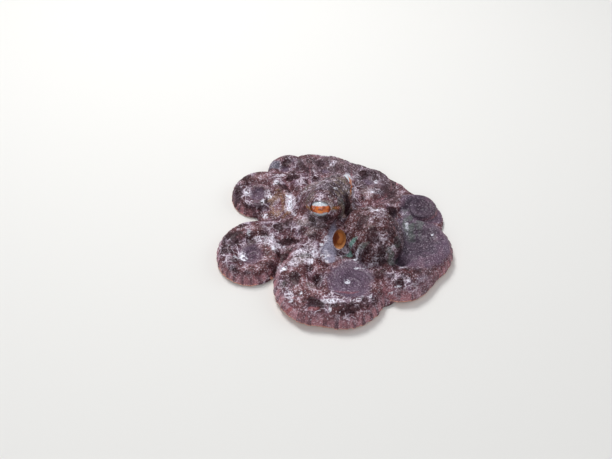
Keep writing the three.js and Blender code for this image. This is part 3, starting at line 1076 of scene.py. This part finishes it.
@dataclass(frozen=True)
class SkinFinish:
    """The skin's colours, and the sizes of its pattern in metres."""

    ground: Colour = (0.19, 0.08, 0.088)
    violet: Colour = (0.145, 0.083, 0.12)
    drab: Colour = (0.085, 0.068, 0.083)
    umber: Colour = (0.065, 0.018, 0.02)
    dark: Colour = (0.022, 0.004, 0.007)
    # the colour of the painted shade
    painted_shade: Colour = (0.05, 0.036, 0.052)
    bead: Colour = (0.34, 0.22, 0.24)
    vein: Colour = (0.66, 0.58, 0.66)
    lilac: Colour = (0.24, 0.175, 0.215)
    white: Colour = (0.8, 0.77, 0.86)
    maroon: Colour = (0.06, 0.02, 0.018)
    coil: Colour = (0.125, 0.085, 0.13)
    # the colour of the painted shade in the furrows
    shaded_furrow: Colour = (0.05, 0.03, 0.045)
    rust: Colour = (0.47, 0.215, 0.245)
    hem: Colour = (0.74, 0.36, 0.26)
    # the colour of the painted highlight on the funnel
    mist: Colour = (0.33, 0.32, 0.42)
    amber: Colour = (0.24, 0.125, 0.05)
    olive: Colour = (0.19, 0.16, 0.125)
    slate: Colour = (0.15, 0.15, 0.19)
    teal: Colour = (0.16, 0.34, 0.29)
    sage: Colour = (0.13, 0.155, 0.14)
    fawn: Colour = (0.3, 0.25, 0.25)
    blush: Colour = (0.4, 0.12, 0.12)
    # the colour of the painted highlights
    glint: Colour = (0.82, 0.84, 0.92)
    orange: Colour = (0.5, 0.13, 0.03)
    lining: Colour = (0.3, 0.125, 0.045)
    shade: tuple[Colour, Colour] = ((0.66, 0.63, 0.65), (1.28, 1.28, 1.28))
    bend: float = 0.0045
    cloud: float = 0.019
    patch: float = 0.0065
    speck: float = 0.0011
    vein_cell: float = 0.0064
    thread_cell: float = 0.0028
    spot_cell: float = 0.0105
    grain_cell: float = 0.0016
    dot_cell: float = 0.0031
    stud_cell: float = 0.0058
    crisp_cell: float = 0.0021
    bump: float = 0.0004

    def material(self) -> bpy.types.Material:
        """The skin's material: coats of colour laid over one another, each where its share lets it."""
        n = Nodes("octopus_skin")
        place = n.place()
        bent = n.shift(place, n.noise(place, self.bend, 2.0, "Color"), self.bend)
        broad, middling = n.noise(place, self.cloud, 2.0), n.noise(place, self.patch, 3.0)
        fine = n.noise(place, self.speck, 2.0)
        veins = n.cells(bent, self.vein_cell, "DISTANCE_TO_EDGE").step(0.085, 0.02)
        threads = n.cells(bent, self.thread_cell, "DISTANCE_TO_EDGE").step(0.15, 0.04)
        chance = n.cells(bent, self.spot_cell, output="Color")
        spots = n.cells(bent, self.spot_cell).step(0.5, 0.3) * chance.step(0.4, 0.6)
        grain = n.cells(place, self.grain_cell).step(0.6, 0.15)
        dots = n.cells(place, self.dot_cell).step(0.26, 0.14) * fine.step(0.4, 0.55)
        studs = n.cells(bent, self.stud_cell).step(0.2, 0.1)
        crisp = n.noise(place, self.crisp_cell, 2.0).step(0.4, 0.54)
        calm, rust, rib, mantle = (n.mask(name) for name in ("calm", "rust", "rib", "mantle"))
        bead, shaded_furrow, hem, bore = (n.mask(name) for name in ("bead", "shaded_furrow", "hem", "bore"))
        mark = {tone: n.mask(tone.value) for tone in Tone}
        pale, dark, quiet, mist = (mark[tone] for tone in (Tone.PALE, Tone.DARK, Tone.QUIET, Tone.MIST))

        net = threads * middling.step(0.53, 0.64) * 0.7 | veins * (broad.step(0.52, 0.62) | pale) * 0.85
        net = net * (1 - mantle * 0.45) * (1 - calm * 0.75) * (1 - dark * 0.92) * (1 - spots * 0.6)
        light = pale * (threads * 0.75 + middling.step(0.56, 0.64) * 0.5) * (1 - dark)
        plain = (1 - bore) * (1 - hem * 0.7) * (1 - dark * 0.8) * (1 - mist)
        sparkle = grain * fine.step(0.46, 0.6) * 0.42 | dots * 0.55
        colour = n.blend(broad.step(0.42, 0.58), self.ground, self.violet)
        for share, coat in (
            (middling.step(0.6, 0.42) * 0.85, self.umber),
            (mark[Tone.OLIVE] * 0.7, self.olive),
            (mark[Tone.FAWN] * 0.75, self.fawn),
            (quiet * 0.5, self.drab),
            (pale * (0.35 + 0.4 * middling), self.lilac),
            (mantle * 0.7, self.maroon),
            (spots * (1 - pale) * (1 - calm) * 0.8, self.dark),
            (dark * (0.8 + 0.2 * middling.step(0.6, 0.4)) * (1 - quiet * 0.35), self.dark),
            (bead * middling.step(0.35, 0.65) * (1 - dark * 0.85) * 0.7, self.bead),
            (net * (1 - quiet * 0.65), self.vein),
            (light, self.white),
            (calm * (0.55 + 0.4 * broad) * (1 - light * 0.7), self.coil),
            # painted shade: a dim violet-grey over the coils of arm_left_4 and arm_right_4 and beside the
            # mantle
            (mark[Tone.PAINTED_SHADE] * 0.72, self.painted_shade),
            # the rim's own rust colour; its weaker share between the ribs darkens the grooves as painted
            # shade
            (rust * (0.45 + 0.4 * rib) * (1 - dark * 0.85), self.rust),
            (mark[Tone.SLATE] * 0.85, self.slate),
            (mark[Tone.AMBER] * middling.step(0.3, 0.55) * 0.8, self.amber),
            (mark[Tone.SAGE] * middling.step(0.34, 0.5) * 0.75, self.sage),
            # painted shade: darkens the furrows round the eyes, along the coils and between the ribs
            (shaded_furrow * 0.75, self.shaded_furrow),
            (mark[Tone.BLUSH] * 0.7, self.blush),
            (hem, self.hem),
            # painted highlight: a pale bluish sheen on one side of the funnel
            (mist * 0.78, n.blend(middling.step(0.52, 0.66), self.mist, self.white)),
            (bore, self.lining),
            (n.mask("eye_streak"), n.blend(middling.step(0.35, 0.6), self.orange, self.amber)),
            (mark[Tone.TEAL] * middling.step(0.3, 0.5) * 0.8, self.teal),
            # painted highlights: the glints, broken up by noise
            (mark[Tone.GLINT] * crisp, self.glint),
            (studs * mantle * 0.7, self.bead),
            (sparkle * plain * (1 - calm * 0.45), self.vein),
        ):
            colour = n.blend(share, colour, coat)
        colour = n.blend(1.0, colour, n.blend(fine.step(0.3, 0.7), *self.shade), "MULTIPLY")

        height = grain * 0.5 + fine * 0.6 + threads * 0.3
        bump = {"Strength": 0.5, "Distance": self.bump, "Height": height}
        return n.finish({
            "Base Color": colour,
            "Roughness": 0.42 + 0.25 * fine - 0.08 * calm,
            "Normal": n.add("ShaderNodeBump", None, bump, "Normal"),
            "Specular IOR Level": 0.14,
            "Coat Weight": 0.06,
            "Coat Roughness": 0.2,
        })


@dataclass(frozen=True)
class EyeFinish:
    """The eye's colours: a silvery iris, painted shadow at its rim, and a rusty orange band along the lids
    with a painted reflection.
    """

    silver: Colour = (0.5, 0.56, 0.62)
    sheen: Colour = (0.72, 0.76, 0.8)
    shadow: Colour = (0.12, 0.11, 0.13)
    orange: Colour = (0.75, 0.16, 0.015)
    # the colour of the painted reflection
    painted_reflection: Colour = (1.0, 0.27, 0.03)
    rust: Colour = (0.2, 0.03, 0.02)
    fleck: float = 0.0012
    mottle: float = 0.003

    def material(self) -> bpy.types.Material:
        """The eye's material, from places along and across the lids in shares of the eye's radius."""
        n = Nodes("octopus_eye")
        along, across, out = (n.mask(name) for name in ("along", "across", "out"))
        place = n.place()
        fleck = n.noise(place, self.fleck, 3.0)
        wavy = across + 0.16 * (fleck - 0.5) + 0.05
        band = abs(wavy).step(0.34, 0.24)
        rusty = n.noise(place, self.mottle, 3.0).step(0.42, 0.6) | along.step(0.1, 0.8) * 0.8
        # painted reflection: a bright orange spot low in the middle of the band
        painted_reflection = abs(along + 0.08).step(0.3, 0.14) * abs(wavy + 0.2).step(0.2, 0.08)
        colour = n.blend(fleck.step(0.3, 0.7), self.silver, self.sheen)
        for share, coat in (
            (out.step(0.7, 0.98), self.shadow),
            (band, self.orange),
            (band * rusty * 0.7, self.rust),
            (painted_reflection, self.painted_reflection),
        ):
            colour = n.blend(share, colour, coat)
        return n.finish({
            "Base Color": colour,
            "Roughness": 0.14,
            "Specular IOR Level": 0.6,
            "Coat Weight": 0.8,
            "Coat Roughness": 0.05,
        })


@dataclass(frozen=True)
class LiningFinish:
    """The funnel lining's colours: painted light that makes the deep end brighter than the lip, and painted
    shade, a darker red on one side.
    """

    deep_painted_light: Colour = (0.62, 0.25, 0.075)
    lip: Colour = (0.36, 0.17, 0.075)
    shaded_red: Colour = (0.2, 0.05, 0.03)
    shade: tuple[Colour, Colour] = ((0.85, 0.85, 0.85), (1.12, 1.1, 1.08))
    cloud: float = 0.004

    def material(self) -> bpy.types.Material:
        """The lining's material: lighter towards the deep end as painted light, and redder on one side as
        painted shade.
        """
        n = Nodes("octopus_funnel")
        cloud = n.noise(n.place(), self.cloud, 2.0)
        # painted light: the deep end is brighter than the lip, standing in for light inside the bore
        colour = n.blend(n.mask("lip") * 0.9, self.deep_painted_light, self.lip)
        # painted shade: a darker red on one side of the bore
        colour = n.blend(n.mask("aside").step(0.35, 0.9) * 0.85, colour, self.shaded_red)
        colour = n.blend(1.0, colour, n.blend(cloud, *self.shade), "MULTIPLY")
        return n.finish({"Base Color": colour, "Roughness": 0.5, "Specular IOR Level": 0.25})


@dataclass(frozen=True)
class SuckerFinish:
    """The suckers' colours."""

    cup: Colour = (0.42, 0.2, 0.15)
    lip: Colour = (0.6, 0.42, 0.36)
    fleck: float = 0.0015

    def material(self) -> bpy.types.Material:
        """The suckers' material."""
        n = Nodes("octopus_suckers")
        fleck = n.noise(n.place(), self.fleck, 2.0)
        colour = n.blend(n.mask("lip") * (0.6 + 0.4 * fleck), self.cup, self.lip)
        return n.finish({
            "Base Color": colour,
            "Roughness": 0.4,
            "Specular IOR Level": 0.45,
            "Coat Weight": 0.2,
        })


# ---------------------------------------------------------------- the pieces


@dataclass
class SkinMap:
    """Where each kind of skin lies, as masks from 0 to 1. Apart from frays, a Pair is a step's two ends."""

    noise: Noise
    # noise that frays edges, as cell widths with depths, and how much more it frays the dark marks
    frays: tuple[Pair, ...] = ((3.4, 0.3), (1.5, 0.16))
    dark_fray: float = 1.9
    fold_pale: float = 0.8
    bead_cell: float = 2.3
    bead_radius: float = 0.5
    bead_chance: Pair = (0.25, 0.6)
    # the head and mantle, by distance from them
    trunk: Pair = (2.5, 0.0)
    mantle: Pair = (1.8, -0.5)
    off_head: Pair = (-1.0, 2.0)
    # the arms, by distance from them and from the rest, and by share of their width, height and coil
    arm: Pair = (-0.6, 1.2)
    arm_held: float = 3.0
    calm_held: float = 9.0
    calm_edge: float = 0.2
    outer: Pair = (0.3, 0.8)
    rust_up: Pair = (0.95, 0.45)
    hem_across: Pair = (0.72, 0.88)
    hem_up: Pair = (0.33, 0.2)
    rib_pitch: float = 4.6
    # furrows along the coils and between the ribs, carved and darkened with painted shade
    thread_pitch: float = 2.6
    thread_cell: float = 5.0
    thread_chance: Pair = (-0.35, 0.5)
    thread_inside: Pair = (0.8, 0.6)
    groove_across: Pair = (0.5, 0.8)
    # the funnel, by distance from its axis, height along it and place aside from its mouth
    bore_out: Pair = (8.0, 7.2)
    bore_up: tuple[Pair, Pair] = ((4.0, 5.0), (20.0, 18.0))
    # the painted highlight on one side of the funnel
    painted_sheen_out: Pair = (17.0, 12.0)
    painted_sheen_up: tuple[Pair, Pair] = ((2.0, 8.0), (17.2, 16.0))
    painted_sheen_aside: Pair = (-0.5, -3.5)
    # the eyes, by distance from their middle, along the lids, across them and ahead
    lid: Pair = (12.5, 10.5)
    wrinkle_from: float = 11.6
    wrinkle_pitch: float = 3.0
    wrinkle_out: tuple[Pair, Pair] = ((10.5, 12.0), (25.0, 19.0))
    wrinkle_across: Pair = (1.0, 6.0)
    wrinkle_ahead: Pair = (-11.0, -4.0)
    streak_across: Pair = (1.9, 0.6)
    streak_at: float = 0.3
    streak_along: tuple[Pair, Pair] = ((7.0, 8.0), (15.5, 12.0))
    streak_ahead: float = -5.0

    def masks(self, points: Array, spot: ArmSpot, head: Array, mantle: Array) -> dict[str, Array]:
        """What kind of skin each point has.

        Args:
            points: places, one to a row.
            spot: where they lie on the arms.
            head: their distances from the head.
            mantle: their distances from the mantle.

        Returns:
            The masks by name.
        """
        ragged = sum(self.noise.swell(points, size) * depth for size, depth in self.frays)
        gap, chance = self.noise.grains(points, self.bead_cell)
        trunk = np.minimum(head, mantle)
        masks = {
            "bead": np.clip(1.0 - (gap / self.bead_radius) ** 2, 0.0, 1.0)
            * ease(*self.bead_chance, chance),
            "trunk": ease(*self.trunk, trunk),
            "mantle": ease(*self.mantle, mantle) * ease(*self.off_head, head),
        }
        self._on_arms(masks, points, spot, trunk, ragged)
        for tone in Tone:
            frayed = ragged * self.dark_fray if tone is Tone.DARK else ragged
            cover = [blot.cover(points, frayed) for blot in BLOTS[tone]]
            masks[tone.value] = np.max([np.zeros(len(points)), *cover], axis=0)
        for fold in FOLDS:
            pale = fold.nearness(points) * self.fold_pale
            masks[Tone.PALE.value] = np.maximum(masks[Tone.PALE.value], pale)
        self._round_funnel(masks, points, ragged)
        self._round_eyes(masks, points, ragged)
        masks["shaded_furrow"] = np.clip(masks["shaded_furrow"], 0.0, 1.0)
        return masks

    def _on_arms(
        self, masks: dict[str, Array], points: Array, spot: ArmSpot, trunk: Array, ragged: Array
    ) -> None:
        """Adds the arms' masks: calm coils, rusty outer sides with ribs, a pale hem, and furrows darkened
        with painted shade.
        """
        x, y, z = points.T
        rest = np.minimum(trunk, WEB.distance(x, y, z))
        arm = ease(*self.arm, rest - spot.held) * (spot.held < self.arm_held)
        outer = ease(*self.outer, spot.across + ragged * 0.4) * arm
        inside = spot.from_coil / spot.coil_radius + ragged * 0.2
        calm = ease(spot.calm, spot.calm - self.calm_edge, inside) * (spot.held < self.calm_held)
        masks["calm"] = calm * ease(*self.off_head, trunk)
        masks["rust"] = outer * ease(*self.rust_up, spot.up + ragged * 0.3)
        masks["hem"] = arm * ease(*self.hem_across, spot.across) * ease(*self.hem_up, z / spot.half)
        masks["rib"] = 0.5 + 0.5 * np.cos(spot.run * math.tau / self.rib_pitch + ragged * 2.0)
        threads = 0.5 + 0.5 * np.cos(spot.across * spot.half * math.tau / self.thread_pitch + ragged * 3.0)
        broken = ease(*self.thread_chance, self.noise.swell(points, self.thread_cell))
        grooves = (1.0 - masks["rib"]) ** 4 * ease(*self.groove_across, spot.across)
        masks["shaded_furrow"] = masks["calm"] * threads**3 * broken * ease(*self.thread_inside, inside) * 0.75
        masks["shaded_furrow"] += masks["rust"] * grooves * 0.8

    def _round_funnel(self, masks: dict[str, Array], points: Array, ragged: Array) -> None:
        """Adds the mask of the funnel's bore, and the painted sheen, a painted highlight on one side of the
        funnel.
        """
        x, y, z = points.T
        up, out = FUNNEL.parts(x, y, z)
        mist = ease(*self.painted_sheen_out, out + ragged * 4.0) * ease(*self.painted_sheen_aside, x - FUNNEL.mouth[0])
        masks["bore"] = ease(*self.bore_out, out)
        for bore_span, painted_sheen_span in zip(self.bore_up, self.painted_sheen_up):
            masks["bore"] = masks["bore"] * ease(*bore_span, up)
            mist = mist * ease(*painted_sheen_span, up)
        masks[Tone.MIST.value] = np.maximum(mist, masks[Tone.MIST.value])

    def _round_eyes(self, masks: dict[str, Array], points: Array, ragged: Array) -> None:
        """Adds the lids, the streaks that run on from them, and furrows in rings above the eyes, darkened
        with painted shade.
        """
        masks["lid"] = np.zeros(len(points))
        masks["eye_streak"] = np.zeros(len(points))
        for eye in EYES:
            ahead, along, across = eye.parts(*points.T)
            from_eye = np.sqrt(ahead**2 + along**2 + across**2)
            masks["lid"] = np.maximum(masks["lid"], ease(*self.lid, from_eye))
            waves = np.cos((from_eye - self.wrinkle_from + ragged) * math.tau / self.wrinkle_pitch)
            rings = (0.5 + 0.5 * waves) ** 2 * ease(*self.wrinkle_across, across)
            rings = rings * ease(*self.wrinkle_ahead, ahead)
            streak = ease(*self.streak_across, np.abs(across + self.streak_at + ragged))
            for out_span, along_span in zip(self.wrinkle_out, self.streak_along):
                rings = rings * ease(*out_span, from_eye)
                streak = streak * ease(*along_span, np.abs(along))
            masks["shaded_furrow"] += rings
            masks["eye_streak"] += streak * (ahead > self.streak_ahead)


@dataclass
class Relief:
    """How far the skin's warts, beads, lumps, ribs and folds stand out, in millimetres."""

    noise: Noise
    wart_cell: float = 8.0
    wart_radius: float = 0.42
    wart_power: float = 1.4
    wart_height: Pair = (0.3, 1.8)
    wart_off_trunk: float = 0.35
    # cell widths with heights
    lumps: tuple[Pair, ...] = ((9.0, 0.5), (4.2, 0.25))
    bead_height: float = 0.6
    rib_height: float = 0.45
    furrow_depth: float = 0.45
    # how much of the relief each kind of skin loses
    smooth: tuple[tuple[str, float], ...] = (
        ("calm", 0.8), ("rust", 0.5), (Tone.MIST.value, 0.9), ("bore", 1.0), ("lid", 0.85),
    )
    floor_fade: Pair = (0.3, 2.2)

    def rise(self, points: Array, masks: dict[str, Array]) -> Array:
        """How far each point stands out.

        Args:
            points: places, one to a row.
            masks: what kind of skin each has.

        Returns:
            Millimetres.
        """
        gap, chance = self.noise.grains(points, self.wart_cell)
        low, high = self.wart_height
        warts = np.clip(1.0 - gap / self.wart_radius, 0.0, 1.0) ** self.wart_power
        warts = warts * (low + (high - low) * chance)
        warts = warts * (self.wart_off_trunk + (1.0 - self.wart_off_trunk) * masks["trunk"])
        lumps = sum(self.noise.swell(points, size) * height for size, height in self.lumps)
        rise = masks["bead"] * self.bead_height + lumps + warts
        for name, share in self.smooth:
            rise = rise * (1.0 - share * masks[name])
        rise += masks["rib"] * masks["rust"] * self.rib_height - masks["shaded_furrow"] * self.furrow_depth
        for fold in FOLDS:
            rise += fold.nearness(points) * fold.rise
        return rise * ease(*self.floor_fade, points[:, 2])


@dataclass
class Skin:
    """The one skin over the head, mantle, funnel, web and arms."""

    arms: ArmBundle
    voxel: float = 0.52
    quick_voxel: float = 0.95
    low: Triple = (-97, -98, -2)
    high: Triple = (97, 91, 47)
    # the part that holds the head, mantle and funnel
    trunk_low: Triple = (-50, -62, -2)
    trunk_high: Triple = (72, 64, 47)
    sole: float = 0.25
    # the arms' fillet with the web, at distances from the arm ring's middle
    root_fillet: tuple[tuple[float, ...], tuple[float, ...]] = ((24, 42, 62), (8.0, 4.0, 1.4))
    hollow_fillet: float = 5.0
    brow_fillet: float = 5.0
    neck_fillet: float = 6.0
    trunk_fillet: float = 3.5
    funnel_fillet: float = 2.2
    funnel_lip: float = 1.0
    noise: Noise = field(default_factory=lambda: Noise(11))

    def body(self, x: Array, y: Array, z: Array) -> tuple[Array, Array]:
        """Distances from the head with its brows, and from the mantle."""
        head = HEAD.distance(x, y, z)
        for eye in EYES:
            head = meld(head, eye.brow(x, y, z), self.brow_fillet)
        return head, MANTLE.distance(x, y, z)

    def _grow(self) -> Field:
        """The whole animal's field."""
        grid = Field(self.low, self.high, self.voxel)
        self.arms.grow(grid)
        x, y, z = grid.everywhere()
        from_ring = np.hypot(x - WEB.centre[0], y - WEB.centre[1])
        value = meld(grid.value, WEB.distance(x, y, z), np.interp(from_ring, *self.root_fillet))
        value = meld(value, HOLLOW_FILL.distance(x, y, z), self.hollow_fillet)
        cut, (x, y, z) = grid.window(self.trunk_low, self.trunk_high)
        head, mantle = self.body(x, y, z)
        near = meld(value[cut], meld(head, mantle, self.neck_fillet), self.trunk_fillet)
        near = meld(near, FUNNEL.distance(x, y, z), self.funnel_fillet)
        near = carve(near, FUNNEL.bore(x, y, z), self.funnel_lip)
        for eye in EYES:
            near = eye.open_lids(near, x, y, z)
        value[cut] = near
        grid.value = np.maximum(value, self.sole - grid.everywhere()[2]).astype(np.float32)
        return grid

    def build(self) -> bpy.types.Object:
        """Makes the skin and returns it."""
        grid = self._grow()
        points, quads = grid.surface()
        piece = make_mesh("skin", points, quads)
        spot = self.arms.locate(points, grid.owners(points))
        masks = SkinMap(self.noise).masks(points, spot, *self.body(*points.T))
        points = points + normals_of(piece) * Relief(self.noise).rise(points, masks)[:, None]
        points[:, 2] = np.maximum(points[:, 2], self.sole)
        set_places(piece.data, points)
        piece.data.update()
        for name, values in masks.items():
            store(piece, name, values)
        dress(piece, points, quads, SkinFinish().material())
        flesh = [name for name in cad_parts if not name.startswith("eye_")]
        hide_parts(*flesh)
        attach(piece, BODY)
        return piece


@dataclass
class Eye:
    """One eyeball, whose lens bulges by a share of its radius, with the places that its colours follow."""

    place: EyePlace
    rings: int = 72
    sides: int = 96
    lens: float = 0.05
    lens_edge: float = 0.75

    def _ball(self) -> tuple[Array, Array]:
        """A unit ball, its pole along x: its points, and its faces as triangles."""
        turn, tilt = ring(self.sides), np.arange(1, self.rings) * math.pi / self.rings
        x, out = np.repeat(np.cos(tilt), self.sides), np.repeat(np.sin(tilt), self.sides)
        turn = np.tile(turn, self.rings - 1)
        band = np.column_stack([x, out * np.cos(turn), out * np.sin(turn)])
        points = np.vstack([band, [[1.0, 0.0, 0.0], [-1.0, 0.0, 0.0]]])
        quads = ring_faces(self.rings - 1, self.sides)
        front, back = len(band), len(band) + 1
        first, last = quads[:self.sides], quads[-self.sides:]
        caps = [
            np.column_stack([np.full(self.sides, front), first[:, 0], first[:, 1]]),
            np.column_stack([last[:, 2], last[:, 3], np.full(self.sides, back)]),
        ]
        return points, np.vstack([*caps, quads[:, [0, 3, 2]], quads[:, [0, 2, 1]]])

    def build(self) -> bpy.types.Object:
        """Makes the eye and returns it."""
        name = f"eye_{self.place.side.name.lower()}"
        unit, faces = self._ball()
        bulge = 1.0 + self.lens * ease(self.lens_edge, 1.0, unit[:, 0])
        radius = (self.place.radius - self.place.clearance) * bulge
        points = self.place.centre + (unit * radius[:, None]) @ np.array(self.place.axes)
        piece = make_mesh(f"{name}_ball", points, faces)
        store(piece, "along", unit[:, 1])
        store(piece, "across", unit[:, 2])
        store(piece, "out", np.hypot(unit[:, 1], unit[:, 2]) + (unit[:, 0] < 0))
        dress(piece, points, faces, EyeFinish().material())
        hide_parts(name)
        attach(piece, BODY)
        return piece


@dataclass
class Lining:
    """The funnel's smooth lining, a shallow cup inside the bore."""

    inset: float = 0.12
    floor_up: float = 9.0
    floor_bulge: float = 1.6
    floor_hole: float = 0.04
    lip_gap: float = 0.5
    sides: int = 64
    floor_rings: int = 8
    wall_rings: int = 16

    def build(self) -> bpy.types.Object:
        """Makes the lining and returns it."""
        wall_up = np.linspace(self.floor_up, FUNNEL.length - self.lip_gap, self.wall_rings)
        wall_out = np.interp(wall_up, *zip(*FUNNEL.inside)) - self.inset
        share = np.linspace(self.floor_hole, 1.0, self.floor_rings, endpoint=False)
        up = np.concatenate([self.floor_up - self.floor_bulge * (1.0 - share**2), wall_up])
        out = np.concatenate([wall_out[0] * share, wall_out])
        turn = ring(self.sides)
        way_out, narrow, wide = FUNNEL.axes
        points = (
            FUNNEL.root
            + up[:, None, None] * way_out
            + (out * FUNNEL.narrow)[:, None, None] * np.cos(turn)[None, :, None] * narrow
            + out[:, None, None] * np.sin(turn)[None, :, None] * wide
        ).reshape(-1, 3)
        faces = ring_faces(len(up), self.sides)
        piece = make_mesh("funnel_lining", points, faces)
        store(piece, "lip", np.repeat(ease(self.floor_up, FUNNEL.length, up), self.sides))
        store(piece, "aside", np.cos(np.tile(turn, len(up))))
        dress(piece, points, faces, LiningFinish().material())
        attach(piece, BODY)
        return piece


@dataclass
class Suckers:
    """Two rows of suckers under each arm, the outer row tilted so that it peeps out at the edge."""

    arms: ArmBundle
    # their radius as a share of the arm's half width, their spacing in radii, and the least radius
    size: float = 0.15
    spacing: float = 2.35
    least: float = 0.42
    look_ahead: float = 0.5
    turn_radius: float = 0.75
    sides: int = 12
    # each row's place across the arm, its tilt, and how many turns of the coil it lasts
    rows: tuple[Triple, ...] = ((0.8, 38.0, 1.15), (-0.35, 0.0, math.inf))
    # radius and height in shares of the sucker's radius, and how much of it is lip
    profile: tuple[Triple, ...] = (
        (0.75, 0.9, 0.3), (0.95, 0.35, 0.6), (1.0, 0.12, 1.0), (0.8, 0.0, 1.0), (0.55, 0.22, 0.2),
        (0.0, 0.34, 0.0),
    )

    def _cup(self) -> tuple[Array, Array, Array]:
        """A unit sucker that opens downwards: its points, faces and lip shares."""
        turn = np.tile(ring(self.sides), len(self.profile))
        radius, height, lip = (np.repeat(column, self.sides) for column in zip(*self.profile))
        points = np.column_stack([radius * np.cos(turn), radius * np.sin(turn), height])
        return points, ring_faces(len(self.profile), self.sides)[:, ::-1], lip

    def build(self) -> bpy.types.Object:
        """Makes all suckers as one piece and returns it."""
        cup, cup_faces, cup_lip = self._cup()
        points = []
        for line in self.arms.lines:
            for across, tilt, turns in self.rows:
                lean = math.radians(tilt)
                for x, y, half, way, turned in self._places(line):
                    if turned > turns:
                        continue
                    side = np.array([way[1], -way[0], 0.0]) * line.arm.coil.sense
                    up = np.array([0.0, 0.0, math.cos(lean)]) - side * math.sin(lean)
                    axes = np.array([way, np.cross(up, way), up]) * self.size * half
                    placed = cup @ axes + np.array([x, y, 0.0]) + side * across * half
                    placed[:, 2] -= placed[:, 2].min()
                    points.append(placed)
        faces = np.vstack([cup_faces + count * len(cup) for count in range(len(points))])
        lips = np.tile(cup_lip, len(points))
        points = np.vstack(points)
        piece = make_mesh("suckers", points, faces)
        store(piece, "lip", lips)
        dress(piece, points, faces, SuckerFinish().material())
        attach(piece, BODY)
        return piece

    def _places(self, line: ArmLine) -> list[tuple[float, float, float, Array, float]]:
        """Where suckers sit along an arm: x, y, half width, the arm's way, and turns of its coil so far."""
        places = []
        run = line.run[line.samples]
        start = line.run[line.coil_from]
        while run < line.run[-1]:
            x, y, half = (float(np.interp(run, line.run, column)) for column in line.points.T)
            if half * self.size < self.least:
                break
            ahead = [np.interp(run + self.look_ahead, line.run, column) for column in line.points.T[:2]]
            way = np.array([ahead[0] - x, ahead[1] - y, 0.0])
            turned = max(run - start, 0.0) / (math.tau * line.arm.coil.radius * self.turn_radius)
            places.append((x, y, half, way / np.linalg.norm(way), turned))
            run += self.spacing * self.size * half
        return places


@dataclass(frozen=True)
class Lamp:
    """An area light: its way from the aim as azimuth and elevation, and its distance, width and power."""

    name: str
    azimuth: float
    elevation: float
    far: float
    width: float
    power: float


@dataclass
class Studio:
    """The floor, the lights and the camera, in metres."""

    aim: Triple = (-0.02251, 0.00604, 0.0)
    distance: float = 0.544
    azimuth: float = 270.0
    elevation: float = 50.0
    lens: float = 38.6
    sensor: float = 36.0
    near: float = 0.01
    floor_size: float = 6.0
    floor_colour: Colour = (0.74, 0.73, 0.7)
    floor_roughness: float = 0.9
    sky: Colour = (0.9, 0.93, 1.0)
    sky_strength: float = 0.36
    lamps: tuple[Lamp, ...] = (
        Lamp("key", 115.0, 58.0, 1.1, 0.35, 9.5),
        Lamp("fill", 250.0, 45.0, 1.3, 1.0, 4.0),
        Lamp("side", 10.0, 35.0, 1.2, 0.6, 2.2),
    )

    def _floor(self) -> None:
        """A plain pale floor."""
        half = self.floor_size / 2
        mesh = bpy.data.meshes.new("floor")
        corners = [(-half, -half, 0), (half, -half, 0), (half, half, 0), (-half, half, 0)]
        mesh.from_pydata(corners, [], [(0, 1, 2, 3)])
        floor = bpy.data.objects.new("floor", mesh)
        bpy.context.scene.collection.objects.link(floor)
        finish = {"Base Color": (*self.floor_colour, 1.0), "Roughness": self.floor_roughness}
        mesh.materials.append(Nodes("floor").finish(finish))

    def _aimed(self, data: bpy.types.ID, azimuth: float, elevation: float, far: float) -> bpy.types.Object:
        """Puts a light or camera so that it looks at the aim.

        Args:
            data: the light or camera.
            azimuth: the azimuth of its way from the aim.
            elevation: the elevation of that way.
            far: how far from the aim it is.

        Returns:
            Its object.
        """
        lift = math.radians(elevation)
        way = Vector((*(compass(azimuth)[:2] * math.cos(lift)), math.sin(lift)))
        piece = bpy.data.objects.new(data.name, data)
        piece.location = Vector(self.aim) + way * far
        piece.rotation_euler = way.to_track_quat("Z", "Y").to_euler()
        bpy.context.scene.collection.objects.link(piece)
        return piece

    def _light(self, lamp: Lamp) -> None:
        """One area light."""
        data = bpy.data.lights.new(lamp.name, "AREA")
        data.size = lamp.width
        data.energy = lamp.power
        self._aimed(data, lamp.azimuth, lamp.elevation, lamp.far)

    def _camera(self) -> None:
        """The camera."""
        data = bpy.data.cameras.new("camera")
        data.lens = self.lens
        data.sensor_width = self.sensor
        data.clip_start = self.near
        bpy.context.scene.camera = self._aimed(data, self.azimuth, self.elevation, self.distance)

    def build(self) -> None:
        """Makes the studio."""
        self._floor()
        for lamp in self.lamps:
            self._light(lamp)
        world = bpy.data.worlds.new("world")
        world.use_nodes = True
        background = world.node_tree.nodes["Background"].inputs
        background["Color"].default_value = (*self.sky, 1.0)
        background["Strength"].default_value = self.sky_strength
        bpy.context.scene.world = world
        bpy.context.scene.view_settings.view_transform = "Standard"
        self._camera()


def main() -> None:
    """Builds the octopus and its studio."""
    logging.basicConfig(level=logging.INFO, format="%(name)s: %(message)s")
    arms = ArmBundle(tuple(ArmLine(arm) for arm in ARMS))
    Skin(arms).build()
    for place in EYES:
        Eye(place).build()
    Lining().build()
    Suckers(arms).build()
    Studio().build()


if __name__ == "__main__":
    main()
